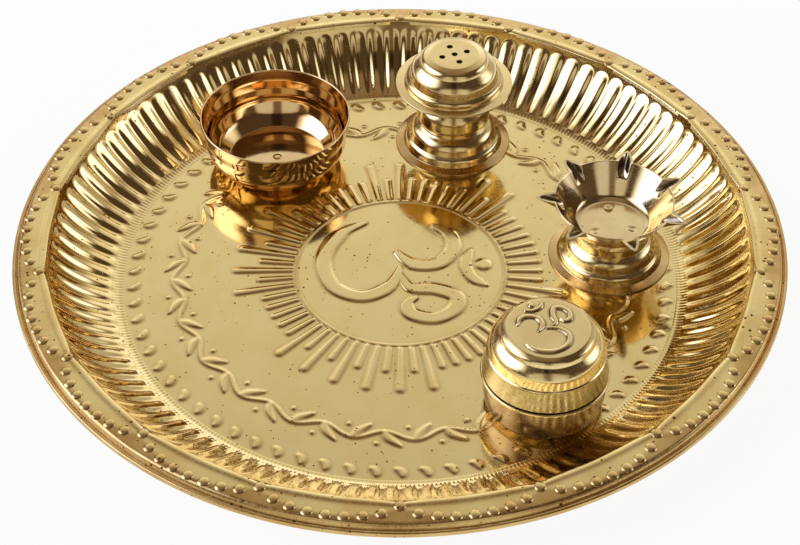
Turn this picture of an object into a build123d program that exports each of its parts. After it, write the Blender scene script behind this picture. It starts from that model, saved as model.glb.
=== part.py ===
"""Puja thali: a fluted brass tray with an offering bowl, an incense stand, a seven-wick lamp (diya)
and a kumkum box with a lift-off lid.

Millimetres, +Z up. The origin is the centre of the tray's underside, and -Y faces the viewer.
"""

import os
from math import asin, atan2, cos, hypot, radians, sin

from build123d import *

# Overrun of every cut past the face that it opens
OVERRUN = 2.0

# Tray: one pressed sheet with a flat floor, a fluted cove and a sloping rim
TRAY_RADIUS = 127.0
TRAY_SHEET = 0.8
COVE_WIDTH = 22.2
COVE_HEIGHT = 18.9
COVE_SAG = 3.0
RIM_WIDTH = 10.8
RIM_DROP = 1.6
RIM_EDGE_WIDTH = 1.6
RIM_EDGE_DEPTH = 2.2
RIM_EDGE_ROUND = 0.6

# Flutes: convex ribs side by side around the cove, fading out at both ends
FLUTE_COUNT = 112
FLUTE_HEIGHT = 0.9
FLUTE_LEVEL_SHARES = (0.0, 0.2, 0.6, 1.0)
FLUTE_HEIGHT_SHARES = (0.12, 1.0, 1.0, 0.3)

# Sunburst on the floor: raised rays round a bare middle, where groups of alternately long and short
# rays are parted by runs of short ones
RAY_COUNT = 64
RAY_GROUP_COUNT = 16
RAY_LONG_COUNT = 6
RAY_FIRST_ANGLE = 225.0
RAY_WIDTH_SHARE = 0.62
RAY_SHORT_LENGTH = 11.6
RAY_LONG_LENGTH = 20.1
RAY_HEIGHT = 0.4
RAY_RING_CLEARANCE = 2.7
RAY_FOOT_CLEARANCE = 0.5

# Spun ware that stands on the tray: each item's bearing from the tray's centre, and how far its foot
# stays inside the floor's edge
WARE_SHEET = 0.7
BOWL_BEARING_ANGLE = 126.8
BOWL_MARGIN = 3.5
STAND_BEARING_ANGLE = 74.6
STAND_MARGIN = 1.7
DIYA_BEARING_ANGLE = 6.6
DIYA_MARGIN = 2.1
BOX_BEARING_ANGLE = -52.7
BOX_MARGIN = 2.9

# Offering bowl: flat base, round belly, crease and flaring band up to the lip
BOWL_BASE_RADIUS = 17.0
BOWL_LIP_RADIUS = 26.5
BOWL_CREASE_RADIUS = 25.2
BOWL_HEIGHT = 20.0
BOWL_CREASE_HEIGHT = 13.0
BELLY_RADIUS_SHARES = (0.55, 0.86)
BELLY_HEIGHT_SHARES = (0.26, 0.60)

# Stepped foot, the same spinning under the incense stand and under the lamp. The head of the stand is
# stepped alike: the first corners shape the brim, the next ones the tiers
BRIM_CORNER_COUNT = 2
TIER_CORNER_COUNT = 6
FOOT_RADIUS = 20.5
FOOT_HEIGHT = 12.0
FOOT_RADIUS_SHARES = (1.0, 1.0, 0.86, 0.81, 0.74, 0.66, 0.61)
FOOT_HEIGHT_SHARES = (0.0, 0.05, 0.12, 0.38, 0.51, 0.80, 1.0)

# Incense stand: domed neck above the foot, a plate that the sticks stand on, a stepped head
NECK_HEIGHT = 14.2
NECK_TOP_RADIUS = 8.4
NECK_RADIUS_SHARES = (0.90, 0.66, 0.26)
NECK_HEIGHT_SHARES = (0.20, 0.42, 0.72)
PLATE_INSET = 0.7
HEAD_RADIUS = 20.6
HEAD_HEIGHT = 11.8
HEAD_RADIUS_SHARES = (1.0, 1.0, 0.86, 0.81, 0.74, 0.65, 0.59, 0.41)
HEAD_HEIGHT_SHARES = (0.0, 0.05, 0.12, 0.36, 0.47, 0.72, 0.84, 1.0)
STICK_HOLE_RADIUS = 1.1
STICK_CIRCLE_RADIUS = 4.6
STICK_CIRCLE_COUNT = 4
STICK_FIRST_ANGLE = 20.0

# Lamp: flat seat on the foot, flaring cup, wick lips pinched out of its rim
DIYA_SEAT_RADIUS = 11.8
DIYA_SEAT_RISE = 1.6
CUP_BASE_RADIUS = 12.4
CUP_RIM_RADIUS = 20.3
CUP_HEIGHT = 11.4
CUP_WALL_RADIUS_SHARE = 0.57
CUP_WALL_HEIGHT_SHARE = 0.42
LIP_COUNT = 7
LIP_FIRST_ANGLE = 75.0
LIP_LENGTH = 5.4
LIP_ROOT_INSET = 2.6
LIP_HALF_WIDTH = 2.6
LIP_DEPTH = 4.2
LIP_TIP_SHARE = 0.12
LIP_RISE = 0.5

# Kumkum box: round body with a bead and a plain collar, and a domed lid that drops over the collar
BOX_BASE_RADIUS = 16.9
BOX_RADIUS = 18.9
BOX_EDGE_HEIGHT = 2.2
BOX_WALL_HEIGHT = 12.4
BEAD_RADIUS = 20.2
BEAD_RISE = 0.8
BEAD_WIDTH = 0.8
COLLAR_RADIUS = 17.3
COLLAR_HEIGHT = 6.5
LID_GAP = 1.0
LID_SKIRT_RADIUS = 19.7
LID_CREASE_RADIUS = 18.4
LID_CREASE_RISE = 1.5
LID_STEP_RADIUS = 14.2
LID_TOP_RADIUS = 12.8
LID_DOME_HEIGHT = 6.4
LID_TOP_HEIGHT = 3.2
LID_DOME_RADIUS_SHARE = 0.40
LID_DOME_HEIGHT_SHARE = 0.62
LID_EDGE_SHARE = 0.8


def upright_plane(x, y, z):
    """Upright sketch plane through an item's axis: sketch x is the radius, sketch y the height."""
    return Plane(origin=(x, y, z), x_dir=(1, 0, 0), z_dir=(0, -1, 0))


def vertical_axis(plane):
    """Turning axis of the item that stands on the plane's origin."""
    return Axis(plane.origin, (0, 0, 1))


def outline_face(plane, points):
    """Face inside a closed outline of points on the plane."""
    with BuildSketch(plane) as face:
        with BuildLine():
            Polyline(*points, close=True)
        make_face()
    return face.sketch


def spin_profile(plane, points, mode=Mode.ADD):
    """Revolve a closed outline of (radius, height) points about the item's axis."""
    revolve(outline_face(plane, points), axis=vertical_axis(plane), mode=mode)


def stepped_outline(radius, height, radius_shares, height_shares):
    """Corners of a stepped spinning, from its brim upwards."""
    return [(radius * r, height * h) for r, h in zip(radius_shares, height_shares)]


def hollow_outline(outline):
    """Inside corners of a stepped spinning that is open below: straight from the brim past the tiers."""
    shoulder = [(r - WARE_SHEET, h - WARE_SHEET) for r, h in outline[TIER_CORNER_COUNT:]]
    return [(outline[BRIM_CORNER_COUNT][0] - WARE_SHEET, 0)] + shoulder


def closed_cap(outline, inside):
    """Full outline of a spun cap: outer corners, flat top, then the hollow back down."""
    top_of_outline = outline[-1][1]
    return outline + [(0, top_of_outline), (0, top_of_outline - WARE_SHEET)] + inside[::-1]


def polar_point(radius, angle):
    """Point (x, y) at a radius and an angle in degrees."""
    return radius * cos(radians(angle)), radius * sin(radians(angle))


# Cove of the tray: an arc through the floor's edge and the rim's inner edge
cove_top_radius = TRAY_RADIUS - RIM_WIDTH
floor_radius = cove_top_radius - COVE_WIDTH
cove_chord = hypot(COVE_WIDTH, COVE_HEIGHT)
cove_tilt = atan2(COVE_HEIGHT, COVE_WIDTH)
cove_arc_radius = (cove_chord**2 / 4 + COVE_SAG**2) / (2 * COVE_SAG)
cove_half_turn = asin(cove_chord / 2 / cove_arc_radius)

# Where the items stand: axis of each one, and the radius of its foot
bowl_axis = polar_point(floor_radius - BOWL_MARGIN - BOWL_BASE_RADIUS, BOWL_BEARING_ANGLE)
stand_axis = polar_point(floor_radius - STAND_MARGIN - FOOT_RADIUS, STAND_BEARING_ANGLE)
diya_axis = polar_point(floor_radius - DIYA_MARGIN - FOOT_RADIUS, DIYA_BEARING_ANGLE)
box_axis = polar_point(floor_radius - BOX_MARGIN - BOX_BASE_RADIUS, BOX_BEARING_ANGLE)
feet = [
    (bowl_axis, BOWL_BASE_RADIUS),
    (stand_axis, FOOT_RADIUS),
    (diya_axis, FOOT_RADIUS),
    (box_axis, BOX_BASE_RADIUS),
]

# Sunburst: the short rays end just inside the feet
ray_ring_radius = min(hypot(*foot) - radius for foot, radius in feet) - RAY_RING_CLEARANCE
ray_start_radius = ray_ring_radius - RAY_SHORT_LENGTH


def cove_point(share, outwards=0.0):
    """Point (radius, height) at a share of the cove's arc, moved out square to the sheet."""
    turn = cove_half_turn * share
    reach = 2 * cove_arc_radius * sin(turn)
    lean = cove_tilt - cove_half_turn + turn
    slope = lean + turn
    radius = floor_radius + reach * cos(lean) + outwards * sin(slope)
    height = TRAY_SHEET + reach * sin(lean) - outwards * cos(slope)
    return radius, height


def flute_ring(valley_radius, rise):
    """Closed ring of arcs, one for each flute, that bulge inwards from the valleys between them."""
    half_pitch = 360 / FLUTE_COUNT / 2
    crest_radius = valley_radius - rise
    for flute in range(FLUTE_COUNT):
        angle = 2 * half_pitch * flute
        crest = polar_point(crest_radius, angle + half_pitch)
        start = polar_point(valley_radius, angle)
        end = polar_point(valley_radius, angle + 2 * half_pitch)
        ThreePointArc(start, crest, end)


def ray_tip_radius(place, angle):
    """Radius of a ray's tip: a long ray of its group ends where a short one does at an item's foot."""
    in_group = place % RAY_GROUP_COUNT
    long_tip = ray_start_radius + RAY_LONG_LENGTH
    x, y = polar_point(long_tip, angle)
    is_long = in_group % 2 == 0 and in_group < 2 * RAY_LONG_COUNT
    is_clear = all(hypot(x - foot[0], y - foot[1]) > radius + RAY_FOOT_CLEARANCE for foot, radius in feet)
    return long_tip if is_long and is_clear else ray_ring_radius


def ray_outline(place):
    """Outline of one ray: sides along radii, and a round tip that swells to the tip's radius."""
    angle = RAY_FIRST_ANGLE + 360 / RAY_COUNT * place
    half_width = 360 / RAY_COUNT * RAY_WIDTH_SHARE / 2
    tip_radius = ray_tip_radius(place, angle)
    shoulder_radius = tip_radius / (1 + radians(half_width))
    sides = (angle - half_width, angle + half_width)
    starts = [polar_point(ray_start_radius, side) for side in sides]
    shoulders = [polar_point(shoulder_radius, side) for side in sides]
    ThreePointArc(shoulders[0], polar_point(tip_radius, angle), shoulders[1])
    Polyline(shoulders[1], starts[1], starts[0], shoulders[0])


rim_height = TRAY_SHEET + COVE_HEIGHT
rim_edge_height = rim_height - RIM_DROP
rim_edge_radius = TRAY_RADIUS - RIM_EDGE_WIDTH
tray_outline = [(0, 0), (floor_radius, 0)]
tray_outline += [cove_point(share, TRAY_SHEET) for share in FLUTE_LEVEL_SHARES[1:]]
tray_outline += [
    (rim_edge_radius, rim_edge_height - TRAY_SHEET),
    (rim_edge_radius, rim_edge_height - RIM_EDGE_DEPTH),
    (TRAY_RADIUS - RIM_EDGE_ROUND, rim_edge_height - RIM_EDGE_DEPTH),
    (TRAY_RADIUS, rim_edge_height - RIM_EDGE_DEPTH + RIM_EDGE_ROUND),
    (TRAY_RADIUS, rim_edge_height - RIM_EDGE_ROUND),
    (rim_edge_radius, rim_edge_height),
    (cove_top_radius, rim_height),
    (0, rim_height),
]

with BuildPart() as thali_tray:
    spin_profile(upright_plane(0, 0, 0), tray_outline)
    for level_share, height_share in zip(FLUTE_LEVEL_SHARES, FLUTE_HEIGHT_SHARES):
        level_radius, level_height = cove_point(level_share)
        with BuildSketch(Plane.XY.offset(level_height)):
            with BuildLine():
                flute_ring(level_radius, FLUTE_HEIGHT * height_share)
            make_face()
    with BuildSketch(Plane.XY.offset(rim_height + OVERRUN)):
        with BuildLine():
            flute_ring(cove_top_radius, FLUTE_HEIGHT * FLUTE_HEIGHT_SHARES[-1])
        make_face()
    loft(ruled=True, mode=Mode.SUBTRACT)
    with BuildSketch(Plane.XY.offset(TRAY_SHEET)):
        for ray_place in range(RAY_COUNT):
            with BuildLine():
                ray_outline(ray_place)
            make_face()
    extrude(amount=RAY_HEIGHT)

# Offering bowl
bowl_plane = upright_plane(*bowl_axis, TRAY_SHEET)
belly_width = BOWL_CREASE_RADIUS - BOWL_BASE_RADIUS
belly_outside = [
    (BOWL_BASE_RADIUS + belly_width * r, BOWL_CREASE_HEIGHT * h)
    for r, h in zip(BELLY_RADIUS_SHARES, BELLY_HEIGHT_SHARES)
]
bowl_outside = [(0, 0), (BOWL_BASE_RADIUS, 0)] + belly_outside
bowl_outside += [(BOWL_CREASE_RADIUS, BOWL_CREASE_HEIGHT), (BOWL_LIP_RADIUS, BOWL_HEIGHT)]
bowl_inside = [(0, WARE_SHEET), (BOWL_BASE_RADIUS, WARE_SHEET)]
bowl_inside += [(r - WARE_SHEET, h + WARE_SHEET / 2) for r, h in belly_outside]
bowl_inside += [
    (BOWL_CREASE_RADIUS - WARE_SHEET, BOWL_CREASE_HEIGHT),
    (BOWL_LIP_RADIUS - WARE_SHEET, BOWL_HEIGHT),
]
with BuildPart() as offering_bowl:
    spin_profile(bowl_plane, bowl_outside + bowl_inside[::-1])

# Incense stand
stand_plane = upright_plane(*stand_axis, TRAY_SHEET)
foot_outline = stepped_outline(FOOT_RADIUS, FOOT_HEIGHT, FOOT_RADIUS_SHARES, FOOT_HEIGHT_SHARES)
foot_hollow = hollow_outline(foot_outline)
neck_base_radius = foot_outline[-1][0]
neck_width = neck_base_radius - NECK_TOP_RADIUS
neck_outline = [
    (NECK_TOP_RADIUS + neck_width * r, FOOT_HEIGHT + NECK_HEIGHT * h)
    for r, h in zip(NECK_RADIUS_SHARES, NECK_HEIGHT_SHARES)
]
neck_outline += [(NECK_TOP_RADIUS, FOOT_HEIGHT + NECK_HEIGHT)]
neck_hollow = [(NECK_TOP_RADIUS - WARE_SHEET, FOOT_HEIGHT + NECK_HEIGHT - WARE_SHEET)]
with BuildPart() as incense_stand_foot:
    spin_profile(stand_plane, closed_cap(foot_outline + neck_outline, foot_hollow + neck_hollow))

plate_height = TRAY_SHEET + FOOT_HEIGHT + NECK_HEIGHT
with BuildPart() as incense_stand_plate:
    with BuildSketch(Plane(origin=(*stand_axis, plate_height))):
        Circle(HEAD_RADIUS - PLATE_INSET)
    extrude(amount=WARE_SHEET)

head_seat = plate_height + WARE_SHEET
head_top = head_seat + HEAD_HEIGHT
head_outline = stepped_outline(HEAD_RADIUS, HEAD_HEIGHT, HEAD_RADIUS_SHARES, HEAD_HEIGHT_SHARES)
with BuildPart() as incense_stand_head:
    spin_profile(
        upright_plane(*stand_axis, head_seat),
        closed_cap(head_outline, hollow_outline(head_outline)),
    )
    with BuildSketch(Plane(origin=(*stand_axis, head_top))):
        Circle(STICK_HOLE_RADIUS)
        with PolarLocations(STICK_CIRCLE_RADIUS, STICK_CIRCLE_COUNT, start_angle=STICK_FIRST_ANGLE):
            Circle(STICK_HOLE_RADIUS)
    extrude(amount=-OVERRUN, mode=Mode.SUBTRACT)

# Lamp
diya_plane = upright_plane(*diya_axis, TRAY_SHEET)
diya_foot_outline = foot_outline + [(DIYA_SEAT_RADIUS, FOOT_HEIGHT + DIYA_SEAT_RISE)]
with BuildPart() as diya_foot:
    spin_profile(diya_plane, closed_cap(diya_foot_outline, foot_hollow))

cup_seat = TRAY_SHEET + FOOT_HEIGHT + DIYA_SEAT_RISE
cup_rim_height = cup_seat + CUP_HEIGHT
cup_plane = upright_plane(*diya_axis, cup_seat)
cup_wall = (
    CUP_BASE_RADIUS + (CUP_RIM_RADIUS - CUP_BASE_RADIUS) * CUP_WALL_RADIUS_SHARE,
    CUP_HEIGHT * CUP_WALL_HEIGHT_SHARE,
)
cup_hollow = [
    (0, WARE_SHEET),
    (CUP_BASE_RADIUS - WARE_SHEET / 2, WARE_SHEET),
    (cup_wall[0] - WARE_SHEET, cup_wall[1]),
    (CUP_RIM_RADIUS - WARE_SHEET, CUP_HEIGHT),
    (CUP_RIM_RADIUS - WARE_SHEET, CUP_HEIGHT + LIP_RISE + OVERRUN),
    (0, CUP_HEIGHT + LIP_RISE + OVERRUN),
]


def lip_section(angle, radius, rise, width, depth, headroom, size):
    """V-shaped section across a wick lip, square to the lip's run from the cup's axis."""
    run = Vector(*polar_point(1, angle), 0)
    centre = Vector(*diya_axis, cup_rim_height + rise) + run * radius
    across = Plane(origin=centre, x_dir=(-run.Y, run.X, 0), z_dir=run)
    corners = [(0, -depth * size), (width * size, 0), (-width * size, 0)]
    if headroom:
        corners[2:2] = [(width * size, headroom), (-width * size, headroom)]
    return outline_face(across, corners)


lip_angles = [LIP_FIRST_ANGLE + 360 / LIP_COUNT * i for i in range(LIP_COUNT)]
lip_root_radius = CUP_RIM_RADIUS - LIP_ROOT_INSET
lip_tip_radius = CUP_RIM_RADIUS + LIP_LENGTH
with BuildPart() as diya_cup:
    spin_profile(
        cup_plane,
        [(0, 0), (CUP_BASE_RADIUS, 0), cup_wall, (CUP_RIM_RADIUS, CUP_HEIGHT), (0, CUP_HEIGHT)],
    )
    for lip_angle in lip_angles:
        root = lip_section(lip_angle, lip_root_radius, 0, LIP_HALF_WIDTH, LIP_DEPTH, 0, 1)
        tip = lip_section(
            lip_angle, lip_tip_radius, LIP_RISE, LIP_HALF_WIDTH, LIP_DEPTH, 0, LIP_TIP_SHARE
        )
        loft([root, tip], ruled=True)
    spin_profile(cup_plane, cup_hollow, mode=Mode.SUBTRACT)
    groove_width = LIP_HALF_WIDTH - WARE_SHEET
    groove_depth = LIP_DEPTH - 2 * WARE_SHEET
    for lip_angle in lip_angles:
        root = lip_section(lip_angle, lip_root_radius, 0, groove_width, groove_depth, OVERRUN, 1)
        tip = lip_section(
            lip_angle, lip_tip_radius, LIP_RISE, groove_width, groove_depth, OVERRUN, LIP_TIP_SHARE
        )
        loft([root, tip], ruled=True, mode=Mode.SUBTRACT)

# Kumkum box
box_plane = upright_plane(*box_axis, TRAY_SHEET)
bead_top = BOX_WALL_HEIGHT + BEAD_RISE + BEAD_WIDTH
collar_top = bead_top + COLLAR_HEIGHT
collar_inside = COLLAR_RADIUS - WARE_SHEET
box_inside = BOX_RADIUS - WARE_SHEET
with BuildPart() as kumkum_box_body:
    spin_profile(
        box_plane,
        [
            (0, 0),
            (BOX_BASE_RADIUS, 0),
            (BOX_RADIUS, BOX_EDGE_HEIGHT),
            (BOX_RADIUS, BOX_WALL_HEIGHT),
            (BEAD_RADIUS, BOX_WALL_HEIGHT + BEAD_RISE),
            (BEAD_RADIUS, bead_top),
            (COLLAR_RADIUS, bead_top),
            (COLLAR_RADIUS, collar_top),
            (collar_inside, collar_top),
            (collar_inside, bead_top - WARE_SHEET),
            (box_inside, BOX_WALL_HEIGHT),
            (box_inside, BOX_EDGE_HEIGHT),
            (BOX_BASE_RADIUS - WARE_SHEET / 2, WARE_SHEET),
            (0, WARE_SHEET),
        ],
    )

lid_bottom = bead_top + LID_GAP
lid_crease = collar_top + LID_CREASE_RISE
lid_step = lid_crease + LID_DOME_HEIGHT
lid_top = lid_step + LID_TOP_HEIGHT
lid_dome_width = LID_CREASE_RADIUS - LID_STEP_RADIUS
lid_dome = (
    LID_CREASE_RADIUS - lid_dome_width * LID_DOME_RADIUS_SHARE,
    lid_crease + LID_DOME_HEIGHT * LID_DOME_HEIGHT_SHARE,
)
lid_edge = lid_step + LID_TOP_HEIGHT * LID_EDGE_SHARE
lid_edge_radius = LID_STEP_RADIUS + (LID_TOP_RADIUS - LID_STEP_RADIUS) * LID_EDGE_SHARE / 2
skirt_slope = (LID_SKIRT_RADIUS - LID_CREASE_RADIUS) / (lid_crease - lid_bottom)
ledge_radius = LID_SKIRT_RADIUS - WARE_SHEET - skirt_slope * (collar_top - lid_bottom)
with BuildPart() as kumkum_box_lid:
    spin_profile(
        box_plane,
        [
            (LID_SKIRT_RADIUS, lid_bottom),
            (LID_CREASE_RADIUS, lid_crease),
            lid_dome,
            (LID_STEP_RADIUS, lid_step),
            (lid_edge_radius, lid_edge),
            (LID_TOP_RADIUS - (lid_top - lid_edge), lid_top),
            (0, lid_top),
            (0, lid_top - WARE_SHEET),
            (LID_TOP_RADIUS - WARE_SHEET, lid_top - WARE_SHEET),
            (LID_STEP_RADIUS - WARE_SHEET, lid_step - WARE_SHEET),
            (lid_dome[0] - WARE_SHEET, lid_dome[1] - WARE_SHEET),
            (collar_inside, collar_top),
            (ledge_radius, collar_top),
            (LID_SKIRT_RADIUS - WARE_SHEET, lid_bottom),
        ],
    )

pieces = {
    "thali_tray": thali_tray,
    "offering_bowl": offering_bowl,
    "incense_stand_foot": incense_stand_foot,
    "incense_stand_plate": incense_stand_plate,
    "incense_stand_head": incense_stand_head,
    "diya_foot": diya_foot,
    "diya_cup": diya_cup,
    "kumkum_box_body": kumkum_box_body,
    "kumkum_box_lid": kumkum_box_lid,
}
os.makedirs("parts", exist_ok=True)
for piece_name, piece in pieces.items():
    piece.part.label = piece_name
    export_step(piece.part, f"parts/{piece_name}.step")
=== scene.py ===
"""Look of a puja thali: a pressed brass tray with a bowl, an incense stand, a lamp and a kumkum box.

Sizes are in millimetres, measured from the axis of each piece and from the face that it stands on. The
axes and standing heights come from the frame, and meshes are made in metres.
"""

import logging
import math
from collections.abc import Callable, Sequence
from dataclasses import dataclass, field, replace
from enum import Enum

import bmesh
import bpy
from mathutils import Matrix, Vector
from mathutils.geometry import interpolate_bezier
from mathutils.kdtree import KDTree


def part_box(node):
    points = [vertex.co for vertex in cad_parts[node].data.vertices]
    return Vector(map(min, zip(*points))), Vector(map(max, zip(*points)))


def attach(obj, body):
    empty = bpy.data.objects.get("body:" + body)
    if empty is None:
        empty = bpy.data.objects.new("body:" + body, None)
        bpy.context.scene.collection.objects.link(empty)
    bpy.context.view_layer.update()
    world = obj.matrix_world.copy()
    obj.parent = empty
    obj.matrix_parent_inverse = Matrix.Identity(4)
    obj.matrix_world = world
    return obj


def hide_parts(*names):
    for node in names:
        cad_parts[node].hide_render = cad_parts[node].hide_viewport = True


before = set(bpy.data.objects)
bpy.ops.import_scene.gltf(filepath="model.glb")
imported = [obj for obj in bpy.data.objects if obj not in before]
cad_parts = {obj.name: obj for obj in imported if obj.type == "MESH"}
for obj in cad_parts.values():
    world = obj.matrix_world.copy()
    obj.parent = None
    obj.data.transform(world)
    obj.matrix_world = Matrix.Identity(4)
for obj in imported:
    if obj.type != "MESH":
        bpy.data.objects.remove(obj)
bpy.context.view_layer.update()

log = logging.getLogger("puja_thali")

Colour = tuple[float, float, float]
Span = tuple[float, float]
Knots = tuple[Span, ...]

MM = 0.001
UP = Vector((0, 0, 1))
SHARP_ANGLE = math.radians(38)
SECTORS = 16
# Millimetres within which two places count as one: more than turning is off by, less than any edge
TOUCH = 1e-3

# Rounded corners: angle from point to point, fewest points, share of the room that a rounding may take
ARC_STEP = math.radians(13)
ARC_POINTS = 3
CORNER_ROOM = 0.98

# Smooth lines: points from knot to knot, and the part of the way between two knots that a handle takes
LINE_POINTS = 14
HANDLE_PART = 6

# Widths of strokes along their length
LEAF_BEND = 0.8
BRUSH_TIP = 0.35
BRUSH_TAPER = 3.2

# Layer of patina and painted shade, and how a crease gathers it
TARNISH_AND_SHADE = "tarnish"
CREASE_FLOOR = 0.03
CREASE_GAIN = 12.0

# Sockets of a Mix node that take its share and two colours, and the one that gives the mixed colour
MIX_INPUTS = (0, 6, 7)
MIX_RESULT = 2


class Body(Enum):
    """Bodies that lift off one another, as the record names them."""

    TRAY = "tray"
    BOWL = "bowl"
    STAND = "incense_stand"
    DIYA = "diya"
    BOX = "kumkum_box"
    LID = "kumkum_lid"


class Slot(Enum):
    """Material slots of the record."""

    TRAY = "tray_brass"
    BOWL = "bowl_brass"
    SPUN = "spun_brass"
    LAMP = "lamp_brass"


class NodeBench:
    """Places shader nodes in one tree and links them."""

    def __init__(self, tree: bpy.types.NodeTree) -> None:
        """Clear the tree that the nodes go into."""
        self.tree = tree
        tree.nodes.clear()

    def add(self, kind: str, settings: dict[str, object] | None = None, **sockets: object) -> bpy.types.Node:
        """Add one node.

        Args:
            kind: Blender's type name of the node.
            settings: Properties of the node, by name.
            sockets: Inputs by name, with underscores for spaces: a value, or an output to link.

        Returns:
            The new node.
        """
        node = self.tree.nodes.new(kind)
        for name, value in (settings or {}).items():
            setattr(node, name, value)
        for name, value in sockets.items():
            self.plug(node.inputs[name.replace("_", " ")], value)
        return node

    def plug(self, socket: bpy.types.NodeSocket, value: object) -> None:
        """Link an output to an input socket, or set the socket's own value.

        Args:
            socket: Input socket.
            value: Output to link, or the value to set.
        """
        if isinstance(value, bpy.types.NodeSocket):
            self.tree.links.new(value, socket)
        else:
            socket.default_value = value

    def pair(self, kind: str, operation: str, first: object, second: object) -> bpy.types.Node:
        """Add a node that works on two inputs.

        Args:
            kind: Blender's type name of the node.
            operation: The node's operation.
            first: First value or output.
            second: Second value or output.

        Returns:
            The new node.
        """
        node = self.add(kind, {"operation": operation})
        self.plug(node.inputs[0], first)
        self.plug(node.inputs[1], second)
        return node

    def sum(self, operation: str, first: object, second: object = 0.0) -> bpy.types.NodeSocket:
        """Result of a Math node on one or two values or outputs."""
        return self.pair("ShaderNodeMath", operation, first, second).outputs[0]

    def span(self, value: object, ends: Span, levels: Span = (0.0, 1.0)) -> bpy.types.NodeSocket:
        """Map a span of values to another, smoothly and clamped.

        Args:
            value: Value or output to map.
            ends: Values that give the two levels.
            levels: Results at the two ends.

        Returns:
            The mapped output socket.
        """
        node = self.add("ShaderNodeMapRange", {"interpolation_type": "SMOOTHSTEP"}, Value=value,
                        From_Min=ends[0], From_Max=ends[1], To_Min=levels[0], To_Max=levels[1])
        return node.outputs[0]

    def blend(self, share: object, first: object, second: object) -> bpy.types.NodeSocket:
        """Mix two colours.

        Args:
            share: Share of the second colour.
            first: First colour or output.
            second: Second colour or output.

        Returns:
            The mixed colour's output socket.
        """
        node = self.add("ShaderNodeMix", {"data_type": "RGBA"})
        for socket, value in zip(MIX_INPUTS, (share, first, second)):
            self.plug(node.inputs[socket], value)
        return node.outputs[MIX_RESULT]

    def noise(self, coordinates: object, pitch: float, detail: float) -> bpy.types.NodeSocket:
        """Noise of about the given pitch.

        Args:
            coordinates: Output that gives the place in metres.
            pitch: Size of one patch, in millimetres.
            detail: Octaves of finer noise.

        Returns:
            The noise's output socket.
        """
        node = self.add("ShaderNodeTexNoise", Vector=coordinates, Scale=1 / (pitch * MM), Detail=detail)
        return node.outputs["Fac"]


def opaque(colour: Colour) -> tuple[float, float, float, float]:
    """Colour with full alpha."""
    return (*colour, 1.0)


def scaled(levels: Span, factor: float) -> Span:
    """Both levels of a span times a factor."""
    return levels[0] * factor, levels[1] * factor


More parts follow.
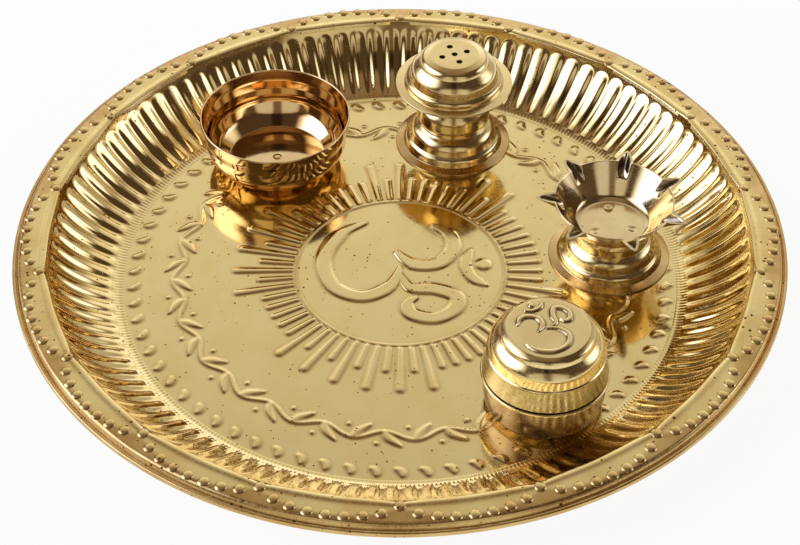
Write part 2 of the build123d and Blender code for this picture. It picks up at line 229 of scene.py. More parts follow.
@dataclass(frozen=True)
class BrassFinish:
    """Polished brass, with its patina, shade painted into its hollows and the marks of its making.

    The broad noise of the wave pitch sets where it is tinted, how strong its patina and painted shade are and
    where specks gather, and a finer noise frays the specks and varies the gloss. Ends are levels of these
    noises.
    """

    name: str
    colour: Colour
    tint: Colour
    tarnish_and_shade_colour: Colour
    speck_colour: Colour
    roughness: float
    speck_pitch: float
    speck_share: float
    wave_pitch: float
    wave_depth: float
    line_pitch: float = 0.0
    line_depth: float = 0.0
    cloud_detail: float = 3.0
    fine_detail: float = 2.0
    grains_per_wave: int = 12
    tint_ends: Span = (0.38, 0.66)
    # Levels of the broad noise, the shares of patina and painted shade that they give, and how much these
    # dull the gloss
    tarnish_and_shade_ends: Span = (0.3, 0.65)
    tarnish_and_shade_levels: Span = (0.6, 1.0)
    tarnish_and_shade_dulling: float = 0.06
    gloss_ends: Span = (0.3, 0.75)
    gloss_shares: Span = (0.7, 1.4)
    patch_ends: Span = (0.3, 0.7)
    patch_shares: Span = (0.5, 1.3)
    fray_ends: Span = (0.2, 0.8)
    fray: float = 0.1
    speck_edge: float = 0.04
    speck_depth: float = 0.03
    speck_dulling: float = 0.35

    def material(self, piece: str, axis: Vector) -> bpy.types.Material:
        """Make the finish's material for one piece.

        Args:
            piece: Name of the piece.
            axis: Axis that its turning lines run round.

        Returns:
            The new material.
        """
        material = bpy.data.materials.new(f"{self.name}_{piece}")
        material.use_nodes = True
        bench = NodeBench(material.node_tree)
        place = bench.add("ShaderNodeTexCoord").outputs["Object"]
        cloud = bench.noise(place, self.wave_pitch, self.cloud_detail)
        grain = bench.noise(place, self.wave_pitch / self.grains_per_wave, self.fine_detail)
        specks = self.specks(bench, place, cloud, grain)
        # Patina and painted shade marked on the mesh, mixed towards a darker brown
        tarnish_and_shade_marks = bench.add("ShaderNodeAttribute", {"attribute_name": TARNISH_AND_SHADE}).outputs["Fac"]
        tarnish_and_shade_share = bench.sum("MULTIPLY", tarnish_and_shade_marks, bench.span(cloud, self.tarnish_and_shade_ends, self.tarnish_and_shade_levels))
        toned = bench.blend(bench.span(cloud, self.tint_ends), opaque(self.colour), opaque(self.tint))
        tarnished_and_shaded = bench.blend(tarnish_and_shade_share, toned, opaque(self.tarnish_and_shade_colour))
        colour = bench.blend(specks, tarnished_and_shaded, opaque(self.speck_colour))
        dulling = bench.sum("ADD", bench.sum("MULTIPLY", specks, self.speck_dulling),
                            bench.sum("MULTIPLY", tarnish_and_shade_share, self.tarnish_and_shade_dulling))
        polish = bench.span(grain, self.gloss_ends, scaled(self.gloss_shares, self.roughness))
        relief = bench.sum("SUBTRACT", bench.sum("MULTIPLY", cloud, self.wave_depth * MM),
                           bench.sum("MULTIPLY", specks, self.speck_depth * MM))
        if self.line_pitch:
            relief = bench.sum("ADD", relief, self.lines(bench, place, axis))
        bump = bench.add("ShaderNodeBump", Strength=1.0, Distance=1.0, Height=relief)
        shader = bench.add("ShaderNodeBsdfPrincipled", Base_Color=colour, Metallic=1.0,
                           Roughness=bench.sum("ADD", polish, dulling), Normal=bump.outputs[0])
        bench.add("ShaderNodeOutputMaterial", Surface=shader.outputs[0])
        return material

    def specks(self, bench: NodeBench, place: object, cloud: object, grain: object) -> bpy.types.NodeSocket:
        """Small dark spots of tarnish.

        Args:
            bench: Where the nodes go.
            place: Output that gives the place on the piece.
            cloud: Broad noise, which gathers the spots in patches.
            grain: Fine noise, which frays them.

        Returns:
            Output that is 1 inside a spot.
        """
        cells = bench.add("ShaderNodeTexVoronoi", Vector=place, Scale=1 / (self.speck_pitch * MM),
                          Randomness=1.0)
        frayed = bench.sum("ADD", cells.outputs["Distance"],
                           bench.span(grain, self.fray_ends, (0.0, self.fray)))
        size = bench.span(cloud, self.patch_ends, scaled(self.patch_shares, self.speck_share))
        return bench.span(bench.sum("SUBTRACT", size, frayed), (0.0, self.speck_edge))

    def lines(self, bench: NodeBench, place: object, axis: Vector) -> bpy.types.NodeSocket:
        """Fine lines round the axis, left by the lathe.

        Args:
            bench: Where the nodes go.
            place: Output that gives the place on the piece.
            axis: Axis of the piece.

        Returns:
            Output with the lines' height in metres.
        """
        from_axis = bench.pair("ShaderNodeVectorMath", "SUBTRACT", place, axis).outputs[0]
        x, y, z = bench.add("ShaderNodeSeparateXYZ", Vector=from_axis).outputs
        square = bench.sum("ADD", bench.sum("MULTIPLY", x, x), bench.sum("MULTIPLY", y, y))
        along = bench.sum("SUBTRACT", z, bench.sum("SQRT", square))
        rings = bench.add("ShaderNodeTexNoise", {"noise_dimensions": "1D"}, W=along,
                          Scale=1 / (self.line_pitch * MM), Detail=self.fine_detail)
        return bench.sum("MULTIPLY", rings.outputs["Fac"], self.line_depth * MM)


TRAY_FINISH = BrassFinish(
    name="pressed_brass", colour=(0.86, 0.68, 0.31), tint=(0.84, 0.64, 0.27),
    tarnish_and_shade_colour=(0.47, 0.29, 0.10), speck_colour=(0.16, 0.09, 0.03), roughness=0.10,
    speck_pitch=2.4, speck_share=0.17, wave_pitch=14.0, wave_depth=0.03,
)
RIM_FINISH = BrassFinish(
    name="dulled_brass", colour=(0.84, 0.66, 0.28), tint=(0.77, 0.56, 0.21),
    tarnish_and_shade_colour=(0.58, 0.35, 0.12), speck_colour=(0.14, 0.07, 0.02), roughness=0.23,
    speck_pitch=3.0, speck_share=0.19, wave_pitch=12.0, wave_depth=0.04,
)
BOWL_FINISH = BrassFinish(
    name="mirror_brass", colour=(0.85, 0.61, 0.31), tint=(0.78, 0.52, 0.24),
    tarnish_and_shade_colour=(0.50, 0.28, 0.10), speck_colour=(0.25, 0.13, 0.04), roughness=0.07,
    speck_pitch=8.0, speck_share=0.05, wave_pitch=14.0, wave_depth=0.02,
    line_pitch=0.5, line_depth=0.0012,
)
SPUN_FINISH = BrassFinish(
    name="spun_brass", colour=(0.85, 0.67, 0.32), tint=(0.81, 0.61, 0.27),
    tarnish_and_shade_colour=(0.48, 0.26, 0.08), speck_colour=(0.22, 0.12, 0.04), roughness=0.18,
    speck_pitch=7.0, speck_share=0.06, wave_pitch=14.0, wave_depth=0.02,
    line_pitch=0.45, line_depth=0.0015,
)
LID_FINISH = replace(SPUN_FINISH, name="olive_brass", tarnish_and_shade_colour=(0.33, 0.26, 0.13))
# Browner where painted shade lies on the box's wall
BOX_FINISH = replace(SPUN_FINISH, name="shaded_brass", tarnish_and_shade_colour=(0.39, 0.26, 0.14), roughness=0.20)
# Soot, its darkest colour, also stands in for painted shade on the lips
LAMP_FINISH = BrassFinish(
    name="sooted_and_shaded_brass", colour=(0.84, 0.67, 0.36), tint=(0.79, 0.60, 0.30),
    tarnish_and_shade_colour=(0.09, 0.07, 0.06), speck_colour=(0.20, 0.13, 0.06), roughness=0.13,
    speck_pitch=6.0, speck_share=0.08, wave_pitch=9.0, wave_depth=0.03,
    line_pitch=0.4, line_depth=0.002,
)


@dataclass(frozen=True)
class Corner:
    """Corner of an outline: its radius and height, and the radius that rounds it."""

    radius: float
    height: float
    rounding: float = 0.0

    def point(self) -> Vector:
        """Place of the corner, as radius and height."""
        return Vector((self.radius, self.height))

    def moved(self, out: float, up: float) -> "Corner":
        """The same corner, further out and up."""
        return replace(self, radius=self.radius + out, height=self.height + up)


Corners = tuple[Corner, ...]


def clamp(value: float) -> float:
    """Value held between 0 and 1."""
    return min(1.0, max(0.0, value))


def stops(start: float, end: float, gap: float) -> list[float]:
    """Evenly spaced values from start to end, at most gap apart."""
    count = max(1, math.ceil(abs(end - start) / gap))
    return [start + (end - start) * index / count for index in range(count + 1)]


def bearings(count: int, first: float = 0.0) -> list[float]:
    """Evenly spaced angles round a circle, in radians."""
    return [first + math.tau * index / count for index in range(count)]


def polar(radius: float, angle: float) -> Vector:
    """Place at a radius and an angle in radians."""
    return Vector((radius * math.cos(angle), radius * math.sin(angle)))


def place_of(vert: bmesh.types.BMVert, axis: Vector) -> tuple[float, float, float]:
    """Radius, angle and height of a point about an axis."""
    spot = (vert.co - axis) / MM
    return spot.xy.length, math.atan2(spot.y, spot.x), spot.z


def put(vert: bmesh.types.BMVert, axis: Vector, radius: float, angle: float, height: float) -> None:
    """Move a point to a radius, an angle and a height about an axis."""
    vert.co = axis + Vector((*polar(radius, angle), height)) * MM


def node_axis(node: str) -> Vector:
    """Foot of a CAD node's upright axis."""
    low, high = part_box(node)
    return Vector(((low.x + high.x) / 2, (low.y + high.y) / 2, low.z))


def rounded_outline(corners: Sequence[Corner], closed: bool = False) -> list[Vector]:
    """Points along an outline with its corners rounded.

    Args:
        corners: Corners in order.
        closed: Whether the last corner joins the first.

    Returns:
        Points as radius and height.
    """
    places = [corner.point() for corner in corners]
    count = len(corners)
    ways = [(places[index - 1] - here, places[(index + 1) % count] - here)
            for index, here in enumerate(places)]
    reaches = []
    for index, (before, after) in enumerate(ways):
        is_end = not closed and index in (0, count - 1)
        reaches.append(0.0 if is_end else corners[index].rounding / math.tan(before.angle(after) / 2))
    outline = []
    for index, (before, after) in enumerate(ways):
        here, reach = places[index], reaches[index]
        if not reach:
            outline.append(here)
            continue
        room = min(before.length / (reach + reaches[index - 1]),
                   after.length / (reach + reaches[(index + 1) % count]))
        reach *= min(1.0, CORNER_ROOM * room)
        half = before.angle(after) / 2
        turn = math.pi - 2 * half
        handle = 1 - 4 / 3 * math.tan(turn / 4) * math.tan(half)
        start, end = before.normalized() * reach, after.normalized() * reach
        points = max(ARC_POINTS, math.ceil(turn / ARC_STEP) + 1)
        arc = interpolate_bezier(start, start * handle, end * handle, end, points)
        outline += [here + point for point in arc]
    return outline


def new_mesh() -> bmesh.types.BMesh:
    """Empty mesh whose points can hold patina and painted shade."""
    mesh = bmesh.new()
    mesh.verts.layers.float.new(TARNISH_AND_SHADE)
    return mesh


def close_seams(mesh: bmesh.types.BMesh) -> None:
    """Merge a mesh's doubled points and turn its faces outwards."""
    bmesh.ops.remove_doubles(mesh, verts=mesh.verts, dist=TOUCH * MM)
    bmesh.ops.recalc_face_normals(mesh, faces=mesh.faces)


def repeat_round(mesh: bmesh.types.BMesh, axis: Vector, count: int) -> None:
    """Copy one sector round an upright axis until the ring is full.

    Args:
        mesh: Mesh that holds the sector alone.
        axis: Foot of the axis, in metres.
        count: Sectors in the ring.
    """
    bmesh.ops.spin(mesh, geom=mesh.verts[:] + mesh.edges[:] + mesh.faces[:], cent=axis, axis=UP,
                   angle=math.tau - math.tau / count, steps=count - 1, use_duplicate=True)
    close_seams(mesh)


def turned(outline: Sequence[Vector], axis: Vector, steps: int, closed: bool = False) -> bmesh.types.BMesh:
    """Turn an outline about an upright axis, as one sector that is then repeated round it.

    Args:
        outline: Points as radius and height.
        axis: Foot of the axis, in metres.
        steps: Faces in one ring, a multiple of the sectors.
        closed: Whether the outline's last point joins its first.

    Returns:
        The turned mesh, with its faces pointing outwards.
    """
    mesh = new_mesh()
    verts = [mesh.verts.new(axis + Vector((point.x, 0, point.y)) * MM) for point in outline]
    pairs = list(zip(verts, verts[1:]))
    if closed:
        pairs.append((verts[-1], verts[0]))
    edges = [mesh.edges.new(pair) for pair in pairs]
    bmesh.ops.spin(mesh, geom=verts + edges, cent=axis, axis=UP, angle=math.tau / SECTORS,
                   steps=steps // SECTORS)
    repeat_round(mesh, axis, SECTORS)
    return mesh


def mark(mesh: bmesh.types.BMesh, rule: Callable[[bmesh.types.BMVert], float]) -> None:
    """Add patina and painted shade to the points of a mesh.

    Args:
        mesh: Mesh to mark.
        rule: Gives a point's patina and painted shade, which counts where the point has less; it may also
            move the point.
    """
    layer = mesh.verts.layers.float[TARNISH_AND_SHADE]
    for vert in mesh.verts:
        vert[layer] = max(vert[layer], rule(vert))


def crease_depth(vert: bmesh.types.BMVert) -> float:
    """How deep in a crease a point lies, from 0 to 1, by how far its neighbours rise from its plane."""
    ways = [(edge.other_vert(vert).co - vert.co).normalized() for edge in vert.link_edges]
    rise = sum(way.dot(vert.normal) for way in ways) / len(ways)
    return clamp((rise - CREASE_FLOOR) * CREASE_GAIN)


def shade_in_creases(mesh: bmesh.types.BMesh, most: float = 1.0) -> bmesh.types.BMesh:
    """Darken a mesh's creases with patina and painted shade.

    Args:
        mesh: Mesh to mark.
        most: Patina and painted shade in the deepest crease.

    Returns:
        The same mesh.
    """
    mesh.normal_update()
    mark(mesh, lambda vert: most * crease_depth(vert))
    return mesh


def dulled(mesh: bmesh.types.BMesh, axis: Vector, top: float, inside: float, tarnish: float) -> None:
    """Brown and dull what lies below a height and outside a radius: patina on a foot's flange, painted shade
    on the box's wall and a darker band on the lid.

    Args:
        mesh: Mesh to mark.
        axis: Place of its axis at the mesh's foot.
        top: Height that the browning stops at.
        inside: Radius that it starts at.
        tarnish: How much there is.
    """
    layer = mesh.verts.layers.float[TARNISH_AND_SHADE]
    for vert in mesh.verts:
        radius, _, height = place_of(vert, axis)
        if height < top and radius >= inside:
            vert[layer] = max(vert[layer], tarnish)


def smooth_line(knots: Sequence[Span | Vector]) -> list[Vector]:
    """Smooth line through a few points.

    Args:
        knots: Points that the line passes through.

    Returns:
        Points along the line.
    """
    points = [Vector(knot) for knot in knots]
    padded = [points[0], *points, points[-1]]
    line = []
    for before, start, end, after in zip(padded, points, points[1:], padded[3:]):
        first, second = start + (end - before) / HANDLE_PART, end - (after - start) / HANDLE_PART
        line += interpolate_bezier(start, first, second, end, LINE_POINTS)
    return line


def leaf_width(share: float) -> float:
    """Share of a leaf's half-width at a share of its length: pointed at both ends, fullest near the base."""
    return math.sin(math.pi * share**LEAF_BEND) ** LEAF_BEND


def brush_width(share: float) -> float:
    """Share of a brush stroke's half-width at a share of its length: full, with tapered ends."""
    return min(1.0, BRUSH_TIP + BRUSH_TAPER * min(share, 1 - share))


def bar_width(share: float) -> float:
    """Share of a plain bar's half-width, the same all along."""
    return 1.0


@dataclass
class Relief:
    """Ornament pressed up from a sheet, as strokes of swelling width with sloping edges, ringed at the foot
    with patina and painted shade.
    """

    # Width of the ring of patina and painted shade round each stroke's foot, its strength, and the share of
    # the top height above which none is painted
    halo: float = 0.9
    tarnish: float = 0.6
    shade_share: float = 0.6
    samples: list[tuple[Vector, float, float, float]] = field(default_factory=list)
    tree: KDTree | None = None
    reach: float = 0.0
    highest: float = 0.0

    def stroke(
        self, line: Sequence[Vector], half_width: float, height: float,
        swell: Callable[[float], float] = bar_width, slope_share: float = 1.0,
    ) -> None:
        """Add one stroke.

        Args:
            line: Points along its middle.
            half_width: Its greatest half-width.
            height: Its height.
            swell: Share of the half-width at a share of the stroke's length.
            slope_share: Share of the half-width that slopes; the rest is flat.
        """
        last = max(1, len(line) - 1)
        for index, point in enumerate(line):
            width = max(TOUCH, half_width * swell(index / last))
            self.samples.append((point, width, height, slope_share))
            self.reach = max(self.reach, width)
        self.highest = max(self.highest, height)

    def settle(self) -> None:
        """Sort the strokes' points for looking up."""
        self.tree = KDTree(len(self.samples))
        for index, sample in enumerate(self.samples):
            self.tree.insert((*sample[0], 0), index)
        self.tree.balance()

    def mark_at(self, x: float, y: float) -> tuple[float, float]:
        """Look up a place on the sheet.

        Args:
            x: Way across from the sheet's axis.
            y: Way back from it.

        Returns:
            Height of the relief there, and the patina and painted shade at the foot of a stroke.
        """
        height, tarnish = 0.0, 0.0
        for _, index, distance in self.tree.find_range((x, y, 0), self.reach + self.halo):
            _, width, top, slope_share = self.samples[index]
            inside = (1 - distance / width) / slope_share
            if inside > 0:
                height = max(height, top * math.sin(math.pi / 2 * min(1.0, inside)))
            tarnish = max(tarnish, 1 - abs(distance - width) / self.halo)
        return height, tarnish * self.tarnish * (height < self.shade_share * self.highest)

    def press(self, mesh: bmesh.types.BMesh, axis: Vector, face_height: float) -> None:
        """Raise a mesh's upper face and mark patina and painted shade round the strokes' feet.

        Args:
            mesh: Mesh of the sheet.
            axis: Foot of the sheet's axis, in metres.
            face_height: Height of the face above the axis' foot.
        """
        if self.tree is None:
            self.settle()
        layer = mesh.verts.layers.float[TARNISH_AND_SHADE]
        lowest = axis.z + (face_height - TOUCH) * MM
        for vert in mesh.verts:
            if vert.co.z > lowest:
                spot = (vert.co - axis) / MM
                height, vert[layer] = self.mark_at(spot.x, spot.y)
                vert.co.z += height * MM


@dataclass(frozen=True)
class OmSign:
    """Traditional Om sign in raised strokes, drawn upright about its own middle."""

    size: float
    turn: float
    half_width: float
    height: float
    slope_share: float
    crescent_share: float = 0.75
    lower_bowl: Knots = (
        (-0.40, -0.20), (-0.30, -0.34), (-0.09, -0.43), (0.13, -0.37), (0.21, -0.21), (0.13, -0.06),
        (-0.02, 0.0),
    )
    upper_bowl: Knots = (
        (-0.15, -0.02), (-0.05, 0.08), (-0.06, 0.22), (-0.18, 0.30), (-0.30, 0.28), (-0.37, 0.19),
    )
    tail: Knots = (
        (0.03, 0.0), (0.14, 0.06), (0.15, 0.19), (0.21, 0.31), (0.31, 0.30), (0.38, 0.19), (0.35, 0.07),
        (0.27, 0.04), (0.22, 0.09),
    )
    crescent: Knots = ((-0.17, 0.40), (-0.06, 0.37), (0.05, 0.40), (0.12, 0.48))
    dot: Span = (-0.05, 0.47)

    def carve(self, relief: Relief) -> None:
        """Add the sign's strokes to a relief.

        Args:
            relief: Relief that the sign goes into.
        """
        turn = Matrix.Rotation(self.turn, 2)
        for knots in (self.lower_bowl, self.upper_bowl, self.tail, self.crescent):
            line = [turn @ (point * self.size) for point in smooth_line(knots)]
            width = self.half_width * (self.crescent_share if knots is self.crescent else 1.0)
            relief.stroke(line, width, self.height, brush_width, self.slope_share)
        dot = turn @ (Vector(self.dot) * self.size)
        relief.stroke([dot], self.half_width, self.height, slope_share=self.slope_share)


def mesh_data(name: str, mesh: bmesh.types.BMesh) -> bpy.types.Mesh:
    """Make a finished mesh into Blender's own and free it.

    Args:
        name: Name of the data.
        mesh: Finished mesh.

    Returns:
        The mesh data.
    """
    data = bpy.data.meshes.new(name)
    mesh.to_mesh(data)
    mesh.free()
    return data


def link(name: str, data: bpy.types.ID) -> bpy.types.Object:
    """Put data in the scene as an object.

    Args:
        name: Name of the object.
        data: Mesh, lamp or camera.

    Returns:
        The new object.
    """
    holder = bpy.data.objects.new(name, data)
    bpy.context.scene.collection.objects.link(holder)
    return holder


@dataclass(frozen=True)
class Piece:
    """One visible piece: its name, the body that it rides on, its slot, its node and its finish."""

    name: str
    body: Body
    slot: Slot
    node: str
    finish: BrassFinish

    def add(self, mesh: bmesh.types.BMesh, axis: Vector) -> None:
        """Put a mesh in the scene as this piece.

        Args:
            mesh: Finished mesh, which is freed.
            axis: Axis of the piece.
        """
        data = mesh_data(self.name, mesh)
        data.shade_smooth()
        data.set_sharp_from_angle(angle=SHARP_ANGLE)
        data.materials.append(self.finish.material(self.name, axis))
        piece = link(self.name, data)
        weights = piece.modifiers.new("even_shading", "WEIGHTED_NORMAL")
        weights.keep_sharp = True
        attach(piece, self.body.value)
        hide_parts(self.node)
        log.info("%s: %d faces on %s", self.name, len(data.polygons), self.body.value)


@dataclass
class TraySheet:
    """Main sizes of the sheet that the tray is pressed from, which its floor, cove and rim share."""

    sheet: float = 0.8
    knurl_radius: float = 92.6
    cove_top_radius: float = 116.2
    cove_height: float = 18.9
    axis: Vector = field(default_factory=lambda: node_axis("thali_tray"))

    def piece(self, name: str, finish: BrassFinish = TRAY_FINISH) -> Piece:
        """Piece of the tray with the given name and finish."""
        return Piece(name, Body.TRAY, Slot.TRAY, "thali_tray", finish)


@dataclass(frozen=True)
class Zone:
    """Ring of the tray's floor: its name, the distance between its rows of faces and the faces round it."""

    name: str
    gap: float
    steps: int


@dataclass
class TrayFloor(TraySheet):
    """Floor of the tray: medallion with the sign, sunburst, creeper border and ring of leaves.

    Knots of the creeper's fronds and berries are a way out and a lean in radians, and those of the leaves
    a way out and a way aside.
    """

    zones: tuple[Zone, ...] = (
        Zone("thali_medallion", 0.4, 480),
        Zone("thali_sunburst", 0.5, 1024),
        Zone("thali_creeper_border", 0.5, 1152),
        Zone("thali_leaf_border", 0.5, 1296),
    )
    sign: OmSign = OmSign(size=60.0, turn=math.radians(-90), half_width=3.1, height=0.42, slope_share=0.5)
    ring_radius: float = 35.4
    ring_points: int = 600
    ring_half_width: float = 0.7
    ring_height: float = 0.18
    ray_count: int = 64
    ray_group: int = 16
    ray_long: int = 6
    ray_first_angle: float = math.radians(225)
    ray_width_share: float = 0.66
    ray_margin: float = 0.8
    ray_start: float = 37.0
    ray_short_tip: float = 48.2
    ray_long_tip: float = 56.7
    ray_height: float = 0.36
    ray_gap: float = 0.4
    foot_clearance: float = 0.5
    sunburst_radius: float = 58.0
    creeper_radius: float = 74.6
    wave_count: int = 24
    wave_points: int = 40
    wave_swing: float = 1.7
    stem_half_width: float = 1.0
    stem_height: float = 0.34
    frond: Knots = ((-1.6, 0.0), (1.2, 0.0225), (4.6, 0.075))
    frond_half_width: float = 1.9
    frond_height: float = 0.38
    berry: Span = (3.4, -0.028)
    berry_half_width: float = 0.95
    berry_height: float = 0.35
    border_radius: float = 83.0
    leaf_ring_radius: float = 89.6
    leaf_count: int = 72
    leaf: Knots = ((-1.7, -1.5), (-0.8, 0.2), (0.5, 0.9), (1.7, 0.6))
    leaf_half_width: float = 1.75
    leaf_height: float = 0.33

    def build(self) -> None:
        """Make the floor's rings from the middle outwards and press the ornament into them."""
        relief = self.ornament()
        edges = (0.0, self.ray_start - self.ray_margin, self.sunburst_radius, self.border_radius,
                 self.knurl_radius)
        for zone, inner, outer in zip(self.zones, edges, edges[1:]):
            outline = [Vector((radius, self.sheet)) for radius in stops(inner, outer, zone.gap)]
            outline += [Vector((outer, 0)), Vector((inner, 0))]
            mesh = turned(outline, self.axis, zone.steps, closed=inner > 0)
            relief.press(mesh, self.axis, self.sheet)
            self.piece(zone.name).add(mesh, self.axis)

    def ornament(self) -> Relief:
        """Draw the whole ornament: ring, sign, rays, creeper and leaves.

        Returns:
            The relief that holds it.
        """
        relief = Relief()
        ring = [polar(self.ring_radius, angle) for angle in bearings(self.ring_points)]
        relief.stroke(ring, self.ring_half_width, self.ring_height)
        self.sign.carve(relief)
        for place, angle in enumerate(bearings(self.ray_count, self.ray_first_angle)):
            self.add_ray(relief, place, angle)
        self.add_creeper(relief)
        self.add_leaves(relief)
        return relief

    def add_ray(self, relief: Relief, place: int, angle: float) -> None:
        """Add one ray of the sunburst.

        Args:
            relief: Relief that the ray goes into.
            place: Place of the ray, counted from the first.
            angle: Its angle.
        """
        in_group = place % self.ray_group
        is_long = in_group % 2 == 0 and in_group < 2 * self.ray_long
        is_long = is_long and self.is_clear(polar(self.ray_long_tip, angle))
        half_share = math.pi / self.ray_count * self.ray_width_share
        end = (self.ray_long_tip if is_long else self.ray_short_tip) / (1 + half_share)
        line = [polar(radius, angle) for radius in stops(self.ray_start, end, self.ray_gap)]
        relief.stroke(line, end * half_share, self.ray_height,
                      lambda share: (self.ray_start + (end - self.ray_start) * share) / end)

    def is_clear(self, spot: Vector) -> bool:
        """Tell whether a place on the floor is clear of every foot.

        Args:
            spot: Place on the floor.

        Returns:
            True where no foot stands.
        """
        for node in ("offering_bowl", "incense_stand_foot", "diya_foot", "kumkum_box_body"):
            low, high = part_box(node)
            foot = node_axis(node).xy / MM
            if (spot - foot).length < (high.x - low.x) / 2 / MM + self.foot_clearance:
                return False
        return True

    def add_creeper(self, relief: Relief) -> None:
        """Add the creeper border: a wavy stem with fronds and berries on both sides.

        Args:
            relief: Relief that the creeper goes into.
        """
        middle = self.creeper_radius
        stem = [polar(middle + self.wave_swing * math.sin(self.wave_count * angle), angle)
                for angle in bearings(self.wave_count * self.wave_points)]
        relief.stroke(stem, self.stem_half_width, self.stem_height)
        count = 2 * self.wave_count
        for place, angle in enumerate(bearings(count, math.pi / count)):
            side = 1 if place % 2 else -1
            knots = [polar(middle + side * out, angle + lean) for out, lean in self.frond]
            relief.stroke(smooth_line(knots), self.frond_half_width, self.frond_height, leaf_width)
            berry = polar(middle + side * self.berry[0], angle + self.berry[1])
            relief.stroke([berry], self.berry_half_width, self.berry_height)

    def add_leaves(self, relief: Relief) -> None:
        """Add the ring of small curled leaves inside the knurled line.

        Args:
            relief: Relief that the leaves go into.
        """
        ring = self.leaf_ring_radius
        for angle in bearings(self.leaf_count):
            knots = [polar(ring + out, angle + aside / ring) for out, aside in self.leaf]
            relief.stroke(smooth_line(knots), self.leaf_half_width, self.leaf_height, leaf_width)


